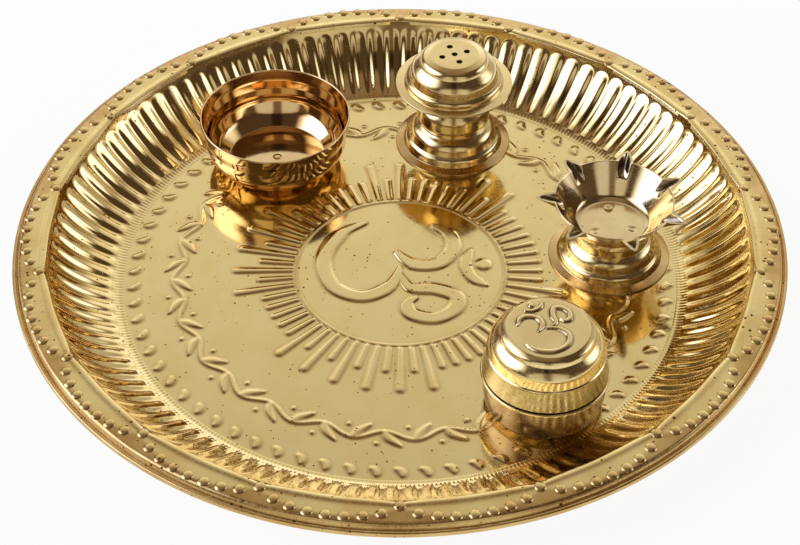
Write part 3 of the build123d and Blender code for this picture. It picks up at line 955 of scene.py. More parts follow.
@dataclass
class TrayCove(TraySheet):
    """Fluted wall of the tray, which follows an arc from the floor to the rim, with a knurled foot line."""

    floor_radius: float = 94.0
    cove_sag: float = 3.0
    cove_end: float = 29.4
    overlap: float = 0.3
    foot_run: float = 5.0
    crown_run: float = 4.5
    fine_gap: float = 0.45
    plain_gap: float = 1.5
    back_gap: float = 3.0
    floor_row: float = 0.5
    flange_start: float = 1.5
    flange_width: float = 2.4
    flange_drop: float = 0.2
    flute_count: int = 112
    flute_steps: int = 12
    flute_height: float = 0.65
    flute_flat: float = 0.25
    flute_foot: float = 0.95
    flute_start: float = 1.6
    flute_end: float = 28.4
    flute_fade: float = 6.0
    flute_bend: float = 0.7
    crown_fade: float = 7.0
    crown_bend: float = 0.8
    # Painted shade in the valleys between flutes, stronger towards one side of the tray, and painted shadow
    # in the crevice under the rim
    valley_share: float = 0.45
    valley_tarnish: float = 0.4
    shade_share: float = 0.35
    shaded_side: float = math.radians(60)
    crevice_tarnish: float = 0.65
    crevice_width: float = 1.4
    knurl_per_flute: int = 4
    knurl_height: float = 0.17
    knurl_margin: float = 0.2
    knurl_end: float = 96.2
    arc_radius: float = field(init=False)
    arc_slope: float = field(init=False)
    arc_centre: Vector = field(init=False)

    def __post_init__(self) -> None:
        """Work out the arc: its radius, its slope at the floor's edge and its centre."""
        width = self.cove_top_radius - self.floor_radius
        chord = math.hypot(width, self.cove_height)
        self.arc_radius = (chord**2 / 4 + self.cove_sag**2) / (2 * self.cove_sag)
        self.arc_slope = math.atan2(self.cove_height, width) - math.asin(chord / 2 / self.arc_radius)
        inwards = Vector((-math.sin(self.arc_slope), math.cos(self.arc_slope)))
        self.arc_centre = Vector((self.floor_radius, self.sheet)) + self.arc_radius * inwards

    def build(self) -> None:
        """Make the cove with its flutes, the knurled line at its foot and a flange under the rim."""
        crown = self.flute_end - self.crown_run
        runs = stops(0.0, self.foot_run, self.fine_gap)[1:]
        runs += stops(self.foot_run, crown, self.plain_gap)[1:]
        runs += stops(crown, self.cove_end + self.overlap, self.fine_gap)[1:]
        floor = (self.knurl_radius, self.knurl_radius + self.floor_row,
                 self.floor_radius - self.floor_row, self.floor_radius)
        flange = self.cove_top_radius + self.flange_width
        outline = [Vector((radius, self.sheet)) for radius in floor]
        outline += [self.cove_point(run, 0.0) for run in runs]
        outline += [Vector((flange, self.cove_height - drop)) for drop in (self.flange_drop, self.sheet)]
        outline += [self.cove_point(run, -self.sheet) for run in stops(self.cove_end, 0.0, self.back_gap)]
        outline += [Vector((self.floor_radius, 0)), Vector((self.knurl_radius, 0))]
        mesh = turned(outline, self.axis, self.flute_count * self.flute_steps, closed=True)
        mark(mesh, self.press)
        self.piece("thali_cove").add(mesh, self.axis)

    def cove_point(self, run: float, lift: float) -> Vector:
        """Place on the cove.

        Args:
            run: Way up the cove's arc from the floor's edge.
            lift: Distance off the arc, towards the middle of the tray.

        Returns:
            The place, as radius and height.
        """
        slope = self.arc_slope + run / self.arc_radius
        return self.arc_centre + (self.arc_radius - lift) * Vector((math.sin(slope), -math.cos(slope)))

    def flute_lift(self, run: float, radius: float, angle: float) -> float:
        """Height of the flutes, each a flat-topped rib with a round upper end.

        Args:
            run: Way up the cove.
            radius: Radius there.
            angle: Angle round the tray.

        Returns:
            Height off the cove.
        """
        pitch = math.tau / self.flute_count
        across = abs((angle / pitch) % 1 - 0.5) * 2
        half_width = radius * pitch / 2
        short_of_end = half_width - (self.flute_end - run)
        distance = math.hypot(across, max(0.0, short_of_end / half_width))
        fade = clamp((run - self.flute_start) / self.flute_fade) ** self.flute_bend
        fade *= clamp((self.flute_end - run) / self.crown_fade) ** self.crown_bend
        side = clamp((self.flute_foot - distance) / (self.flute_foot - self.flute_flat))
        return self.flute_height * fade * side**2 * (3 - 2 * side)

    def press(self, vert: bmesh.types.BMVert) -> float:
        """Move one point of the cove to where the flutes and the knurling put it.

        Args:
            vert: Point to move.

        Returns:
            Painted shade between two flutes, stronger towards one side, and painted shadow under the rim.
        """
        radius, angle, height = place_of(vert, self.axis)
        if radius > self.cove_top_radius + self.flange_start:
            return 0.0
        from_centre = Vector((radius, height)) - self.arc_centre
        run = (math.atan2(from_centre.x, -from_centre.y) - self.arc_slope) * self.arc_radius
        lift, valley, crevice = 0.0, 0.0, 0.0
        if run > 0:
            lift = self.flute_lift(run, radius, angle)
            # Painted shade in the valleys, stronger on one side, and painted shadow under the rim
            ends = clamp(min(run, self.flute_end - run) / self.flute_fade)
            valley = ends * max(0.0, 1 - lift / (self.valley_share * self.flute_height))
            toward_shaded_side = 0.5 + 0.5 * math.cos(angle - self.shaded_side)
            valley *= self.shade_share + (1 - self.shade_share) * toward_shaded_side
            crevice = clamp(1 - (self.cove_end - run) / self.crevice_width)
        is_front = from_centre.length < self.arc_radius + self.sheet / 2
        if is_front and self.knurl_radius + self.knurl_margin < radius < self.knurl_end:
            ticks = angle * self.flute_count * self.knurl_per_flute
            lift += self.knurl_height * (0.5 + 0.5 * math.cos(ticks))
        moved = Vector((radius, height)) - from_centre.normalized() * lift
        put(vert, self.axis, moved.x, angle, moved.y)
        return max(self.valley_tarnish * valley, self.crevice_tarnish * crevice)


@dataclass
class TrayRim(TraySheet):
    """Sloping rim of the tray: lobed inner edge, raised fans, a rolled hem and a scalloped line of beads.

    Corners of the lip are measured from the top of the cove, and those of the hem from the tray's outer
    radius and the lower edge of the slope.
    """

    radius: float = 127.0
    edge_radius: float = 125.2
    slope: float = 0.045
    roll: float = 1.2
    roll_power: int = 30
    ridge_radius: float = 117.3
    ridge_width: float = 0.9
    ridge_height: float = 0.3
    lip: Corners = (Corner(-0.8, -1.45, 0.15), Corner(-0.1, -0.1, 0.5))
    lip_under: Corner = Corner(0.8, -1.1, 0.2)
    hem: Corners = (
        Corner(-1.8, 0.0, 0.45), Corner(-1.35, -0.75, 0.12), Corner(-1.05, -0.2, 0.35),
        Corner(0.0, -0.2, 0.5), Corner(0.0, -2.1, 0.5), Corner(-1.5, -2.1, 0.3), Corner(-1.8, -0.9, 0.2),
    )
    face_start: float = 0.3
    face_end: float = 0.4
    face_gap: float = 0.45
    face_depth: float = 0.4
    back_start: float = 2.4
    scallop_count: int = 18
    scallop_steps: int = 48
    lobe_width: float = 4.5
    lobe_out: float = 1.2
    lobe_in: float = 0.45
    lobe_power: int = 4
    festoon_inner: float = 118.2
    festoon_outer: float = 123.2
    festoon_bend: float = 0.7
    # The rim is darkened and dulled outside the beaded line
    edge_tarnish: float = 0.85
    darkening_start: float = 1.0
    darkening_width: float = 2.2
    beads_per_scallop: int = 8
    bead_radius: float = 1.9
    bead_height: float = 0.55
    # Painted shade on the beads, least on their tops
    bead_tarnish: float = 0.45
    bead_segments: int = 10
    bead_rings: int = 6

    def build(self) -> None:
        """Make the rim and its beads."""
        inner, edge = self.cove_top_radius, self.edge_radius
        top, back = self.slope_height(inner), inner + self.back_start
        face = stops(inner + self.face_start, edge - self.face_end, self.face_gap)
        corners = [corner.moved(inner, top) for corner in self.lip]
        corners += [Corner(radius, self.slope_height(radius)) for radius in face]
        corners += [corner.moved(self.radius, self.slope_height(edge)) for corner in self.hem]
        corners += [Corner(back, self.slope_height(back) - self.sheet), self.lip_under.moved(inner, top)]
        outline = rounded_outline(corners, closed=True)
        mesh = turned(outline, self.axis, self.scallop_count * self.scallop_steps, closed=True)
        mark(mesh, self.press)
        self.piece("thali_rim", RIM_FINISH).add(mesh, self.axis)
        self.build_beads()

    def from_cusp(self, angle: float) -> float:
        """Place across a scallop: 1 at its cusps, 0 at its middle."""
        return abs(2 * ((angle - math.pi / 2) * self.scallop_count / math.tau % 1) - 1)

    def festoon(self, angle: float) -> float:
        """Radius of the beaded line."""
        swell = (1 - self.from_cusp(angle) ** 2) ** self.festoon_bend
        return self.festoon_inner + (self.festoon_outer - self.festoon_inner) * swell

    def slope_height(self, radius: float) -> float:
        """Work out the height of the rim's upper face without its fans.

        Args:
            radius: Radius of the place.

        Returns:
            Height above the tray's underside.
        """
        out = radius - self.cove_top_radius
        share = out / (self.edge_radius - self.cove_top_radius)
        drop = self.slope * out + self.roll * max(0.0, share) ** self.roll_power
        ridge = self.ridge_height * math.exp(-(((radius - self.ridge_radius) / self.ridge_width) ** 2))
        return self.sheet + self.cove_height - drop + ridge

    def fan_lift(self, radius: float, angle: float) -> float:
        """How far a fan stands over the rim's slope: level up to the beaded line, then falling to the edge.

        Args:
            radius: Radius of the place.
            angle: Angle round the tray.

        Returns:
            Height above the slope.
        """
        line, edge = self.festoon(angle), self.edge_radius
        crest = self.slope * max(0.0, min(radius, line) - self.cove_top_radius)
        return crest * clamp((edge - radius) / (edge - line))

    def press(self, vert: bmesh.types.BMVert) -> float:
        """Move one point of the rim to where the lobes and the fans put it.

        Args:
            vert: Point to move.

        Returns:
            How much it is darkened and dulled outside the beads.
        """
        radius, angle, height = place_of(vert, self.axis)
        near_lip = max(0.0, 1 - (radius - self.cove_top_radius) / self.lobe_width)
        lobe = (self.lobe_out * self.from_cusp(angle) ** self.lobe_power - self.lobe_in) * near_lip
        if height > self.slope_height(radius) - self.face_depth:
            height += self.fan_lift(radius, angle)
        put(vert, self.axis, radius + lobe, angle, height)
        outside = radius - self.festoon(angle)
        return min(self.edge_tarnish, max(0.0, (outside + self.darkening_start) / self.darkening_width))

    def build_beads(self) -> None:
        """Make the raised beads along the scallops, one scallop first."""
        mesh = new_mesh()
        size = Matrix.Diagonal((self.bead_radius, self.bead_radius, self.bead_height, 1))
        for index in range(self.beads_per_scallop):
            angle = math.pi / 2 + math.tau / self.scallop_count * index / self.beads_per_scallop
            radius = self.festoon(angle)
            height = self.slope_height(radius) + self.fan_lift(radius, angle)
            place = Vector((*polar(radius, angle), height))
            shape = Matrix.Translation(self.axis + place * MM) @ size @ Matrix.Scale(MM, 4)
            bmesh.ops.create_uvsphere(mesh, u_segments=self.bead_segments, v_segments=self.bead_rings,
                                      radius=1.0, matrix=shape)
        repeat_round(mesh, self.axis, self.scallop_count)
        # Painted shade, darkest at each bead's foot
        mark(mesh, self.bead_shade)
        self.piece("thali_rim_beads", RIM_FINISH).add(mesh, self.axis)

    def bead_shade(self, vert: bmesh.types.BMVert) -> float:
        """Painted shade on one point of a bead: full at the bead's foot and least on its top."""
        radius, angle, height = place_of(vert, self.axis)
        above = height - self.slope_height(radius) - self.fan_lift(radius, angle)
        return 1 - (1 - self.bead_tarnish) * clamp(above / self.bead_height)


@dataclass
class OfferingBowl:
    """Small spun bowl with a crease under its lip band."""

    steps: int = 160
    outside: Corners = (
        Corner(0.0, 0.0), Corner(17.0, 0.0, 1.6), Corner(22.2, 3.4, 6.0), Corner(25.0, 8.6, 7.0),
        Corner(25.1, 12.8, 0.5), Corner(26.0, 16.0, 9.0), Corner(26.5, 20.0, 0.34),
    )
    inside: Corners = (
        Corner(25.8, 20.0, 0.34), Corner(25.3, 16.2, 9.0), Corner(24.3, 13.0, 0.5), Corner(24.2, 8.8, 7.0),
        Corner(21.4, 4.0, 6.0), Corner(17.3, 0.8, 0.8), Corner(1.6, 0.8, 0.4), Corner(0.9, 1.1, 0.3),
        Corner(0.0, 1.1),
    )

    def build(self) -> None:
        """Make the bowl."""
        axis = node_axis("offering_bowl")
        # Patina and painted shade in the bowl's creases
        mesh = shade_in_creases(turned(rounded_outline(self.outside + self.inside), axis, self.steps))
        Piece("offering_bowl_shell", Body.BOWL, Slot.BOWL, "offering_bowl", BOWL_FINISH).add(mesh, axis)


FOOT_FLANGE = (Corner(20.5, 0.0, 0.2), Corner(20.5, 0.6, 0.25), Corner(17.6, 1.3, 0.3))
FOOT_TIERS = (
    Corner(17.1, 3.7, 1.7), Corner(15.7, 4.5, 0.25), Corner(14.9, 8.0, 4.0), Corner(12.6, 9.2, 0.3),
)
FOOT_HOLLOW = (Corner(12.0, 8.4, 1.0), Corner(16.7, 0.0))
FOOT_STEPS = 160
FLANGE_MARGIN = 0.1
FLANGE_TARNISH = 0.75


def stepped_foot(upper: Corners, axis: Vector) -> bmesh.types.BMesh:
    """Turn a stepped, hollow foot whose flange has gone brown, with patina and painted shade in its creases.

    Args:
        upper: Corners above the foot's tiers, outside and then inside.
        axis: Foot of its axis.

    Returns:
        The foot's mesh.
    """
    outline = rounded_outline(FOOT_FLANGE + FOOT_TIERS + upper + FOOT_HOLLOW, closed=True)
    mesh = turned(outline, axis, FOOT_STEPS, closed=True)
    end = FOOT_FLANGE[-1]
    dulled(mesh, axis, end.height, end.radius + FLANGE_MARGIN, FLANGE_TARNISH)
    return shade_in_creases(mesh)


@dataclass
class IncenseStand:
    """Stand for incense sticks: stepped foot with a domed neck, a plate and a stepped head with holes."""

    steps: int = 160
    neck: Corners = (
        Corner(11.7, 9.8, 0.3), Corner(13.1, 12.4, 2.6), Corner(12.3, 16.8, 5.0), Corner(9.2, 20.6, 4.0),
        Corner(8.4, 25.6, 0.3), Corner(0.0, 25.6),
    )
    neck_hollow: Corners = (
        Corner(0.0, 24.9), Corner(7.6, 24.9, 0.5), Corner(8.4, 20.2, 3.0), Corner(10.9, 10.2, 1.0),
    )
    plate: Corners = (
        Corner(0.0, -0.6), Corner(19.9, -0.6, 0.25), Corner(19.9, 0.1, 0.25), Corner(0.0, 0.1),
    )
    head: Corners = (
        Corner(20.6, -0.6, 0.2), Corner(20.6, 0.0, 0.25), Corner(17.5, 0.3, 0.3), Corner(17.1, 2.4, 1.5),
        Corner(15.8, 3.1, 0.25), Corner(14.9, 6.8, 4.0), Corner(12.3, 8.9, 0.25), Corner(11.7, 10.9, 2.6),
        Corner(8.5, 11.8, 0.5), Corner(7.2, 11.8),
    )
    head_hollow: Corners = (Corner(7.2, 11.1), Corner(11.0, 9.2, 1.0), Corner(16.6, -0.6))
    hole_radius: float = 1.1
    hole_circle: float = 4.6
    hole_count: int = 4
    hole_segments: int = 20
    hole_first_angle: float = math.radians(20)

    def build(self) -> None:
        """Make the foot, the plate and the head."""
        axis = node_axis("incense_stand_foot")
        foot = stepped_foot(self.neck + self.neck_hollow, axis)
        self.piece("stand_foot_shell", "incense_stand_foot").add(foot, axis)
        plate_axis = node_axis("incense_stand_plate")
        plate = turned(rounded_outline(self.plate), plate_axis, self.steps)
        self.piece("stand_plate_disc", "incense_stand_plate").add(plate, plate_axis)
        head_axis = node_axis("incense_stand_head")
        # Patina and painted shade in the head's creases
        head = shade_in_creases(self.pierced_head(head_axis))
        self.piece("stand_head_shell", "incense_stand_head").add(head, head_axis)

    def piece(self, name: str, node: str) -> Piece:
        """Piece of the stand that stands for a node."""
        return Piece(name, Body.STAND, Slot.SPUN, node, SPUN_FINISH)

    def pierced_head(self, axis: Vector) -> bmesh.types.BMesh:
        """Turn the head and pierce its flat top.

        Args:
            axis: Foot of the head's axis.

        Returns:
            The head's mesh.
        """
        mesh = turned(rounded_outline(self.head_hollow + self.head), axis, self.steps)
        outer = bearings(self.hole_count, self.hole_first_angle)
        spots = [Vector((0, 0))] + [polar(self.hole_circle, angle) for angle in outer]
        rings = []
        for level in (self.head[-1].height, self.head_hollow[0].height):
            rim = [edge for edge in mesh.edges if edge.is_boundary and self.is_at(edge, axis, level)]
            circles = []
            for spot in spots:
                place = Matrix.Translation(axis + Vector((*spot, level)) * MM)
                made = bmesh.ops.create_circle(mesh, segments=self.hole_segments,
                                               radius=self.hole_radius * MM, matrix=place)
                circles.append({edge for vert in made["verts"] for edge in vert.link_edges})
            loops = rim + [edge for circle in circles for edge in circle]
            bmesh.ops.triangle_fill(mesh, edges=loops, use_beauty=True, use_dissolve=False, normal=UP)
            rings.append(circles)
        for upper, lower in zip(*rings):
            bmesh.ops.bridge_loops(mesh, edges=list(upper | lower))
        close_seams(mesh)
        return mesh

    @staticmethod
    def is_at(edge: bmesh.types.BMEdge, axis: Vector, level: float) -> bool:
        """Whether an edge lies at a height above the axis' foot."""
        return all(abs((vert.co.z - axis.z) / MM - level) < TOUCH for vert in edge.verts)


@dataclass
class Diya:
    """Seven-wick lamp: stepped foot and a flaring cup with lips pinched out of its rim."""

    steps: int = 448
    seat: Corners = (
        Corner(12.5, 12.0, 2.4), Corner(11.8, 13.6, 0.4), Corner(0.0, 13.6), Corner(0.0, 12.9),
    )
    cup_outside: Corners = (
        Corner(0.0, 0.0), Corner(12.0, 0.0, 1.0), Corner(13.3, 1.2, 2.5), Corner(20.3, 11.4, 0.3),
    )
    cup_inside: Corners = (Corner(19.5, 11.4, 0.3), Corner(12.7, 1.6, 2.5), Corner(11.2, 0.8, 0.6))
    cup_floor: float = 0.7
    floor_start: float = 10.8
    floor_gap: float = 0.7
    wall_gap: float = 4.0
    # Painted shade in the cup's creases
    crease_tarnish: float = 0.5
    lip_count: int = 7
    lip_first_angle: float = math.radians(75)
    lip_length: float = 6.2
    lip_half_angle: float = math.radians(8.4)
    lip_bend: float = 1.35
    lip_depth: float = 4.6
    lip_rise: float = -0.2
    lip_gap: float = 0.5
    channel_length: float = 5.4
    channel_half_angle: float = math.radians(6.0)
    # Soot on the lips, which also stands in for shade painted into their dark channels; less of it on the
    # very edge
    soot_and_shade: float = 0.95
    edge_soot_and_shade: float = 0.3
    edge_share: float = 0.97
    soot_and_shade_spread: float = 1.6
    soot_and_shade_rise: float = 2.0
    dent_count: int = 3
    dent_first_angle: float = math.radians(95)
    dent_radius: float = 1.5
    dent_depth: float = 0.3
    dent_circle: float = 7.2

    def build(self) -> None:
        """Make the foot and the cup."""
        axis = node_axis("diya_foot")
        foot = stepped_foot(self.seat, axis)
        Piece("diya_foot_shell", Body.DIYA, Slot.SPUN, "diya_foot", SPUN_FINISH).add(foot, axis)
        self.build_cup(Vector((axis.x, axis.y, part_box("diya_cup")[0].z)))

    def build_cup(self, axis: Vector) -> None:
        """Turn the cup, pinch its lips and dent its floor where it is welded to the foot.

        Args:
            axis: Foot of the cup's axis.
        """
        outline = self.with_rows(rounded_outline(self.cup_outside + self.cup_inside))
        floor = stops(self.floor_start, 0.0, self.floor_gap)
        outline += [Vector((radius, self.cup_floor)) for radius in floor]
        # Painted shade in the cup's creases
        mesh = shade_in_creases(turned(outline, axis, self.steps), self.crease_tarnish)
        # Soot and painted shade on the lips
        mark(mesh, lambda vert: self.pinch(vert, axis))
        Piece("diya_cup_shell", Body.DIYA, Slot.LAMP, "diya_cup", LAMP_FINISH).add(mesh, axis)

    def with_rows(self, outline: list[Vector]) -> list[Vector]:
        """Add points to an outline, close together where the lips bend it.

        Args:
            outline: Points as radius and height.

        Returns:
            The fuller outline.
        """
        rows = outline[:1]
        lip_foot = self.cup_outside[-1].height - self.lip_depth
        for start, end in zip(outline, outline[1:]):
            gap = self.lip_gap if max(start.y, end.y) > lip_foot else self.wall_gap
            shares = stops(0.0, 1.0, gap / max(gap, (end - start).length))
            rows += [start.lerp(end, share) for share in shares[1:]]
        return rows

    def tongue(self, aside: float, half_angle: float) -> float:
        """Share of a lip's length at an angle aside from its middle."""
        return max(0.0, 1 - (aside / half_angle) ** self.lip_bend)

    def pinch(self, vert: bmesh.types.BMVert, axis: Vector) -> float:
        """Move one point of the cup to where the lips and dents put it.

        Args:
            vert: Point to move.
            axis: Foot of the cup's axis.

        Returns:
            Soot and painted shade on it.
        """
        radius, angle, height = place_of(vert, axis)
        pitch = math.tau / self.lip_count
        aside = abs(((angle - self.lip_first_angle) / pitch + 0.5) % 1 - 0.5) * pitch
        up = max(0.0, 1 - (self.cup_outside[-1].height - height) / self.lip_depth)
        lip = self.tongue(aside, self.lip_half_angle)
        out = self.lip_length * lip
        if radius < self.wall_middle(height):
            out = self.channel_length * self.tongue(aside, self.channel_half_angle)
        rise = self.lip_rise * lip * up
        if abs(height - self.cup_floor) < TOUCH:
            rise -= self.dent(polar(radius, angle))
        put(vert, axis, radius + out * up, angle, height + rise)
        most = self.edge_soot_and_shade if up > self.edge_share else self.soot_and_shade
        return min(1.0, self.soot_and_shade_spread * lip) * min(1.0, self.soot_and_shade_rise * up) * most

    def wall_middle(self, height: float) -> float:
        """Find the middle of the cup's wall.

        Args:
            height: Height above the cup's underside.

        Returns:
            Radius midway through the wall.
        """
        rim_out, rim_in = self.cup_outside[-1], self.cup_inside[0]
        low_out, low_in = self.cup_outside[-2], self.cup_inside[1]
        share = (rim_out.height - height) / (rim_out.height - low_out.height)
        return ((rim_out.radius + rim_in.radius) * (1 - share) + (low_out.radius + low_in.radius) * share) / 2

    def dent(self, spot: Vector) -> float:
        """Depth of the weld dents at a place on the cup's floor."""
        welds = [polar(self.dent_circle, angle) for angle in bearings(self.dent_count, self.dent_first_angle)]
        away = min((spot - weld).length for weld in welds) / self.dent_radius
        return self.dent_depth * max(0.0, math.cos(math.pi / 2 * min(1.0, away)))


@dataclass
class KumkumBox:
    """Round powder box with a bead and collar, and a domed lid with the sign on its top."""

    steps: int = 160
    body: Corners = (
        Corner(0.0, 0.0), Corner(16.9, 0.0, 1.2), Corner(18.7, 2.0, 2.2), Corner(19.3, 7.2, 14.0),
        Corner(18.8, 12.4, 0.4), Corner(20.2, 12.9, 0.5), Corner(20.2, 14.0, 0.5), Corner(17.3, 14.0, 0.2),
        Corner(17.3, 20.5, 0.3), Corner(16.6, 20.5, 0.3), Corner(16.6, 13.3, 0.5), Corner(18.1, 12.0, 1.0),
        Corner(18.4, 7.2, 10.0), Corner(18.0, 2.6, 2.0), Corner(16.2, 0.7, 1.0), Corner(0.0, 0.7),
    )
    # Painted shade: the wall below the bead is made darker for the dark reflection that it shows
    wall_top: float = 12.6
    wall_tarnish: float = 1.0
    lid_steps: int = 288
    lid: Corners = (
        Corner(16.6, 5.5), Corner(17.9, 5.5, 0.2), Corner(19.0, -0.5, 0.15), Corner(19.7, -0.5, 0.3),
        Corner(18.9, 3.2, 8.0), Corner(18.4, 6.6, 0.3), Corner(18.7, 7.1, 0.35), Corner(18.1, 7.6, 0.25),
        Corner(17.7, 12.2, 5.0), Corner(15.0, 14.1, 0.3), Corner(14.5, 15.7, 1.5), Corner(12.8, 16.6, 0.5),
        Corner(11.8, 16.6),
    )
    lid_underside: Corners = (
        Corner(0.0, 15.8), Corner(11.6, 15.6, 0.5), Corner(13.2, 12.4, 1.0), Corner(16.3, 11.0, 3.0),
        Corner(16.6, 5.5),
    )
    # The band at the lid's foot is darkened to olive and dulled
    band_top: float = 6.9
    band_inside: float = 18.0
    band_tarnish: float = 0.85
    face_radius: float = 11.7
    face_gap: float = 0.3
    sign: OmSign = OmSign(size=22.6, turn=math.radians(20), half_width=1.2, height=0.5, slope_share=0.8)
    # Patina and painted shade round the sign's strokes
    sign_halo: float = 0.5
    sign_tarnish: float = 0.9

    def build(self) -> None:
        """Make the box's body and its lid."""
        axis = node_axis("kumkum_box_body")
        # Patina and painted shade in the body's creases
        body = shade_in_creases(turned(rounded_outline(self.body), axis, self.steps))
        # Painted shade, a darker brown, on the wall below the bead
        dulled(body, axis, self.wall_top, 0.0, self.wall_tarnish)
        Piece("kumkum_body_shell", Body.BOX, Slot.SPUN, "kumkum_box_body", BOX_FINISH).add(body, axis)
        self.build_lid(node_axis("kumkum_box_lid"))

    def build_lid(self, axis: Vector) -> None:
        """Turn the lid, press the sign into its top with patina and painted shade round its strokes, and
        darken and dull the band at its foot.

        Args:
            axis: Foot of the lid's axis.
        """
        top = self.lid[-1].height
        outline = rounded_outline(self.lid)
        outline += [Vector((radius, top)) for radius in stops(self.face_radius, 0.0, self.face_gap)]
        outline += rounded_outline(self.lid_underside)
        # Patina and painted shade in the lid's creases
        lid = shade_in_creases(turned(outline, axis, self.lid_steps))
        relief = Relief(self.sign_halo, self.sign_tarnish)
        self.sign.carve(relief)
        relief.press(lid, axis, top)
        dulled(lid, axis, self.band_top, self.band_inside, self.band_tarnish)
        Piece("kumkum_lid_shell", Body.LID, Slot.SPUN, "kumkum_box_lid", LID_FINISH).add(lid, axis)


@dataclass(frozen=True)
class Panel:
    """Soft bright patch of the surroundings.

    It has the way that it lies in, the degrees from its middle at which it starts to fade and ends, its
    level at the horizon and what it loses with height.
    """

    way: Vector
    full_angle: float
    end_angle: float
    level: float
    fall: float

    def level_at(self, bench: NodeBench, place: object) -> bpy.types.NodeSocket:
        """Brightness of the patch.

        Args:
            bench: Where the nodes go.
            place: Output that gives the way looked in.

        Returns:
            Output with the patch's level.
        """
        towards = bench.pair("ShaderNodeVectorMath", "DOT_PRODUCT", place, self.way.normalized())
        ends = (math.cos(math.radians(self.end_angle)), math.cos(math.radians(self.full_angle)))
        height = bench.add("ShaderNodeSeparateXYZ", Vector=place).outputs["Z"]
        level = bench.sum("SUBTRACT", self.level, bench.sum("MULTIPLY", height, self.fall))
        return bench.sum("MULTIPLY", bench.span(towards.outputs["Value"], ends), level)


@dataclass(frozen=True)
class Softbox:
    """Square soft lamp that faces the tray: its name, place, side and brightness, where 1 looks white."""

    name: str
    place: Vector
    side: float
    strength: float

    def add(self) -> None:
        """Put the lamp in the scene; brass shows the soft patch of the surroundings instead of it."""
        lamp = bpy.data.lights.new(self.name, "AREA")
        lamp.shape = "SQUARE"
        lamp.size = self.side * MM
        lamp.energy = self.strength * math.pi * lamp.size**2
        holder = link(self.name, lamp)
        holder.location = self.place * MM
        holder.rotation_euler = (-self.place).to_track_quat("-Z", "Y").to_euler()
        holder.visible_glossy = False


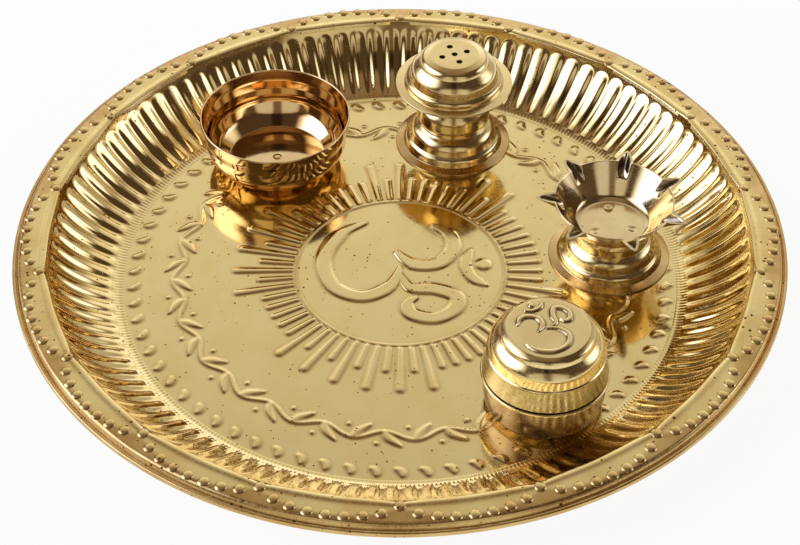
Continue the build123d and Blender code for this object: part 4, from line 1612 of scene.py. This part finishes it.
@dataclass
class Studio:
    """Pale floor, soft light from both sides and the camera."""

    camera_elevation: float = math.radians(43.2)
    camera_distance: float = 647.4
    camera_lens: float = 86.47
    camera_shift: float = -0.0024
    aim_height: float = 0.8
    floor_size: float = 16000.0
    floor_paint: Colour = (0.86, 0.86, 0.86)
    floor_glow: Colour = (1.0, 1.0, 1.0)
    glow_share: float = 0.92
    softboxes: tuple[Softbox, ...] = (
        Softbox("softbox_left", Vector((-920, 40, 600)), 1050, 1.2),
        Softbox("softbox_right", Vector((1000, 160, 420)), 720, 1.0),
    )
    # Wall behind, wall in front, windows on the left and right, ceiling, and the corner at the back right
    panels: tuple[Panel, ...] = (
        Panel(Vector((0.06, 0.76, 0.64)), 24, 44, 1.85, 1.6),
        Panel(Vector((0.0, -0.97, 0.24)), 31, 41, 0.74, 0.15),
        Panel(Vector((-0.84, 0.0, 0.54)), 12, 38, 3.1, 0.6),
        Panel(Vector((0.90, 0.17, 0.40)), 5, 23, 2.2, 0.6),
        Panel(Vector((0.0, 0.0, 1.0)), 8, 26, 0.28, 0.0),
        Panel(Vector((0.67, 0.70, 0.22)), 12, 38, 0.55, 0.0),
    )
    # Between the panels the level falls from the horizon upwards
    dim_ends: Span = (0.0, 0.5)
    dim_levels: Span = (0.2, 0.08)
    # A dark upright gap at the front, by how far a way lies aside of it and behind it
    gap_sides: Span = (0.05, 0.18)
    gap_depth: Span = (-0.4, -0.2)
    gap_levels: Span = (0.3, 1.0)
    # Colours of dim, bright and brightest places, and the levels between which they change
    dim_colour: Colour = (1.0, 0.67, 0.46)
    wall_colour: Colour = (1.0, 0.98, 0.94)
    wall_ends: Span = (0.12, 0.7)
    window_colour: Colour = (0.86, 0.99, 1.55)
    window_ends: Span = (0.9, 2.4)

    def build(self) -> None:
        """Set up the floor, the lights, the surroundings and the camera."""
        self.add_floor()
        for softbox in self.softboxes:
            softbox.add()
        self.add_surroundings()
        self.add_camera()
        bpy.context.scene.view_settings.view_transform = "Standard"

    def add_floor(self) -> None:
        """Add the pale floor, which shows white and keeps the tray's shadow."""
        mesh = bmesh.new()
        bmesh.ops.create_grid(mesh, x_segments=1, y_segments=1, size=self.floor_size / 2 * MM)
        material = bpy.data.materials.new("studio_floor")
        material.use_nodes = True
        bench = NodeBench(material.node_tree)
        rays = bench.add("ShaderNodeLightPath").outputs
        seen = bench.sum("MAXIMUM", bench.sum("MAXIMUM", rays["Is Camera Ray"], rays["Is Glossy Ray"]),
                         rays["Is Transmission Ray"])
        paint = bench.add("ShaderNodeBsdfDiffuse", Color=opaque(self.floor_paint))
        glow = bench.add("ShaderNodeEmission", Color=opaque(self.floor_glow), Strength=1.0)
        mix = bench.add("ShaderNodeMixShader", Fac=bench.sum("MULTIPLY", seen, self.glow_share))
        bench.plug(mix.inputs[1], paint.outputs[0])
        bench.plug(mix.inputs[2], glow.outputs[0])
        bench.add("ShaderNodeOutputMaterial", Surface=mix.outputs[0])
        data = mesh_data("studio_floor", mesh)
        data.materials.append(material)
        floor = link("studio_floor", data)

    def add_surroundings(self) -> None:
        """Add bright walls and windows round the tray, under a dim ceiling."""
        world = bpy.data.worlds.new("studio")
        bpy.context.scene.world = world
        world.use_nodes = True
        bench = NodeBench(world.node_tree)
        place = bench.add("ShaderNodeTexCoord").outputs["Generated"]
        x, y, z = bench.add("ShaderNodeSeparateXYZ", Vector=place).outputs
        level = bench.span(z, self.dim_ends, self.dim_levels)
        for panel in self.panels:
            level = bench.sum("MAXIMUM", level, panel.level_at(bench, place))
        off_gap = bench.sum("MAXIMUM", bench.span(bench.sum("ABSOLUTE", x), self.gap_sides),
                            bench.span(y, self.gap_depth))
        level = bench.sum("MULTIPLY", level, bench.span(off_gap, (0.0, 1.0), self.gap_levels))
        lit, brightest = bench.span(level, self.wall_ends), bench.span(level, self.window_ends)
        tone = bench.blend(lit, opaque(self.dim_colour), opaque(self.wall_colour))
        tone = bench.blend(brightest, tone, opaque(self.window_colour))
        light = bench.add("ShaderNodeBackground", Color=tone, Strength=level)
        bench.add("ShaderNodeOutputWorld", Surface=light.outputs[0])

    def add_camera(self) -> None:
        """Add the camera at the photograph's angle, aimed at the middle of the tray's floor."""
        camera = bpy.data.cameras.new("camera")
        camera.lens = self.camera_lens
        camera.shift_y = self.camera_shift
        holder = link("camera", camera)
        back = Vector((0, -math.cos(self.camera_elevation), math.sin(self.camera_elevation)))
        holder.location = (back * self.camera_distance + UP * self.aim_height) * MM
        holder.rotation_euler = (math.pi / 2 - self.camera_elevation, 0, 0)
        bpy.context.scene.camera = holder


def main() -> None:
    """Build the studio and every piece."""
    logging.basicConfig(level=logging.INFO, format="%(name)s %(message)s")
    Studio().build()
    for assembly in (TrayFloor(), TrayCove(), TrayRim(), OfferingBowl(), IncenseStand(), Diya(), KumkumBox()):
        assembly.build()


if __name__ == "__main__":
    main()
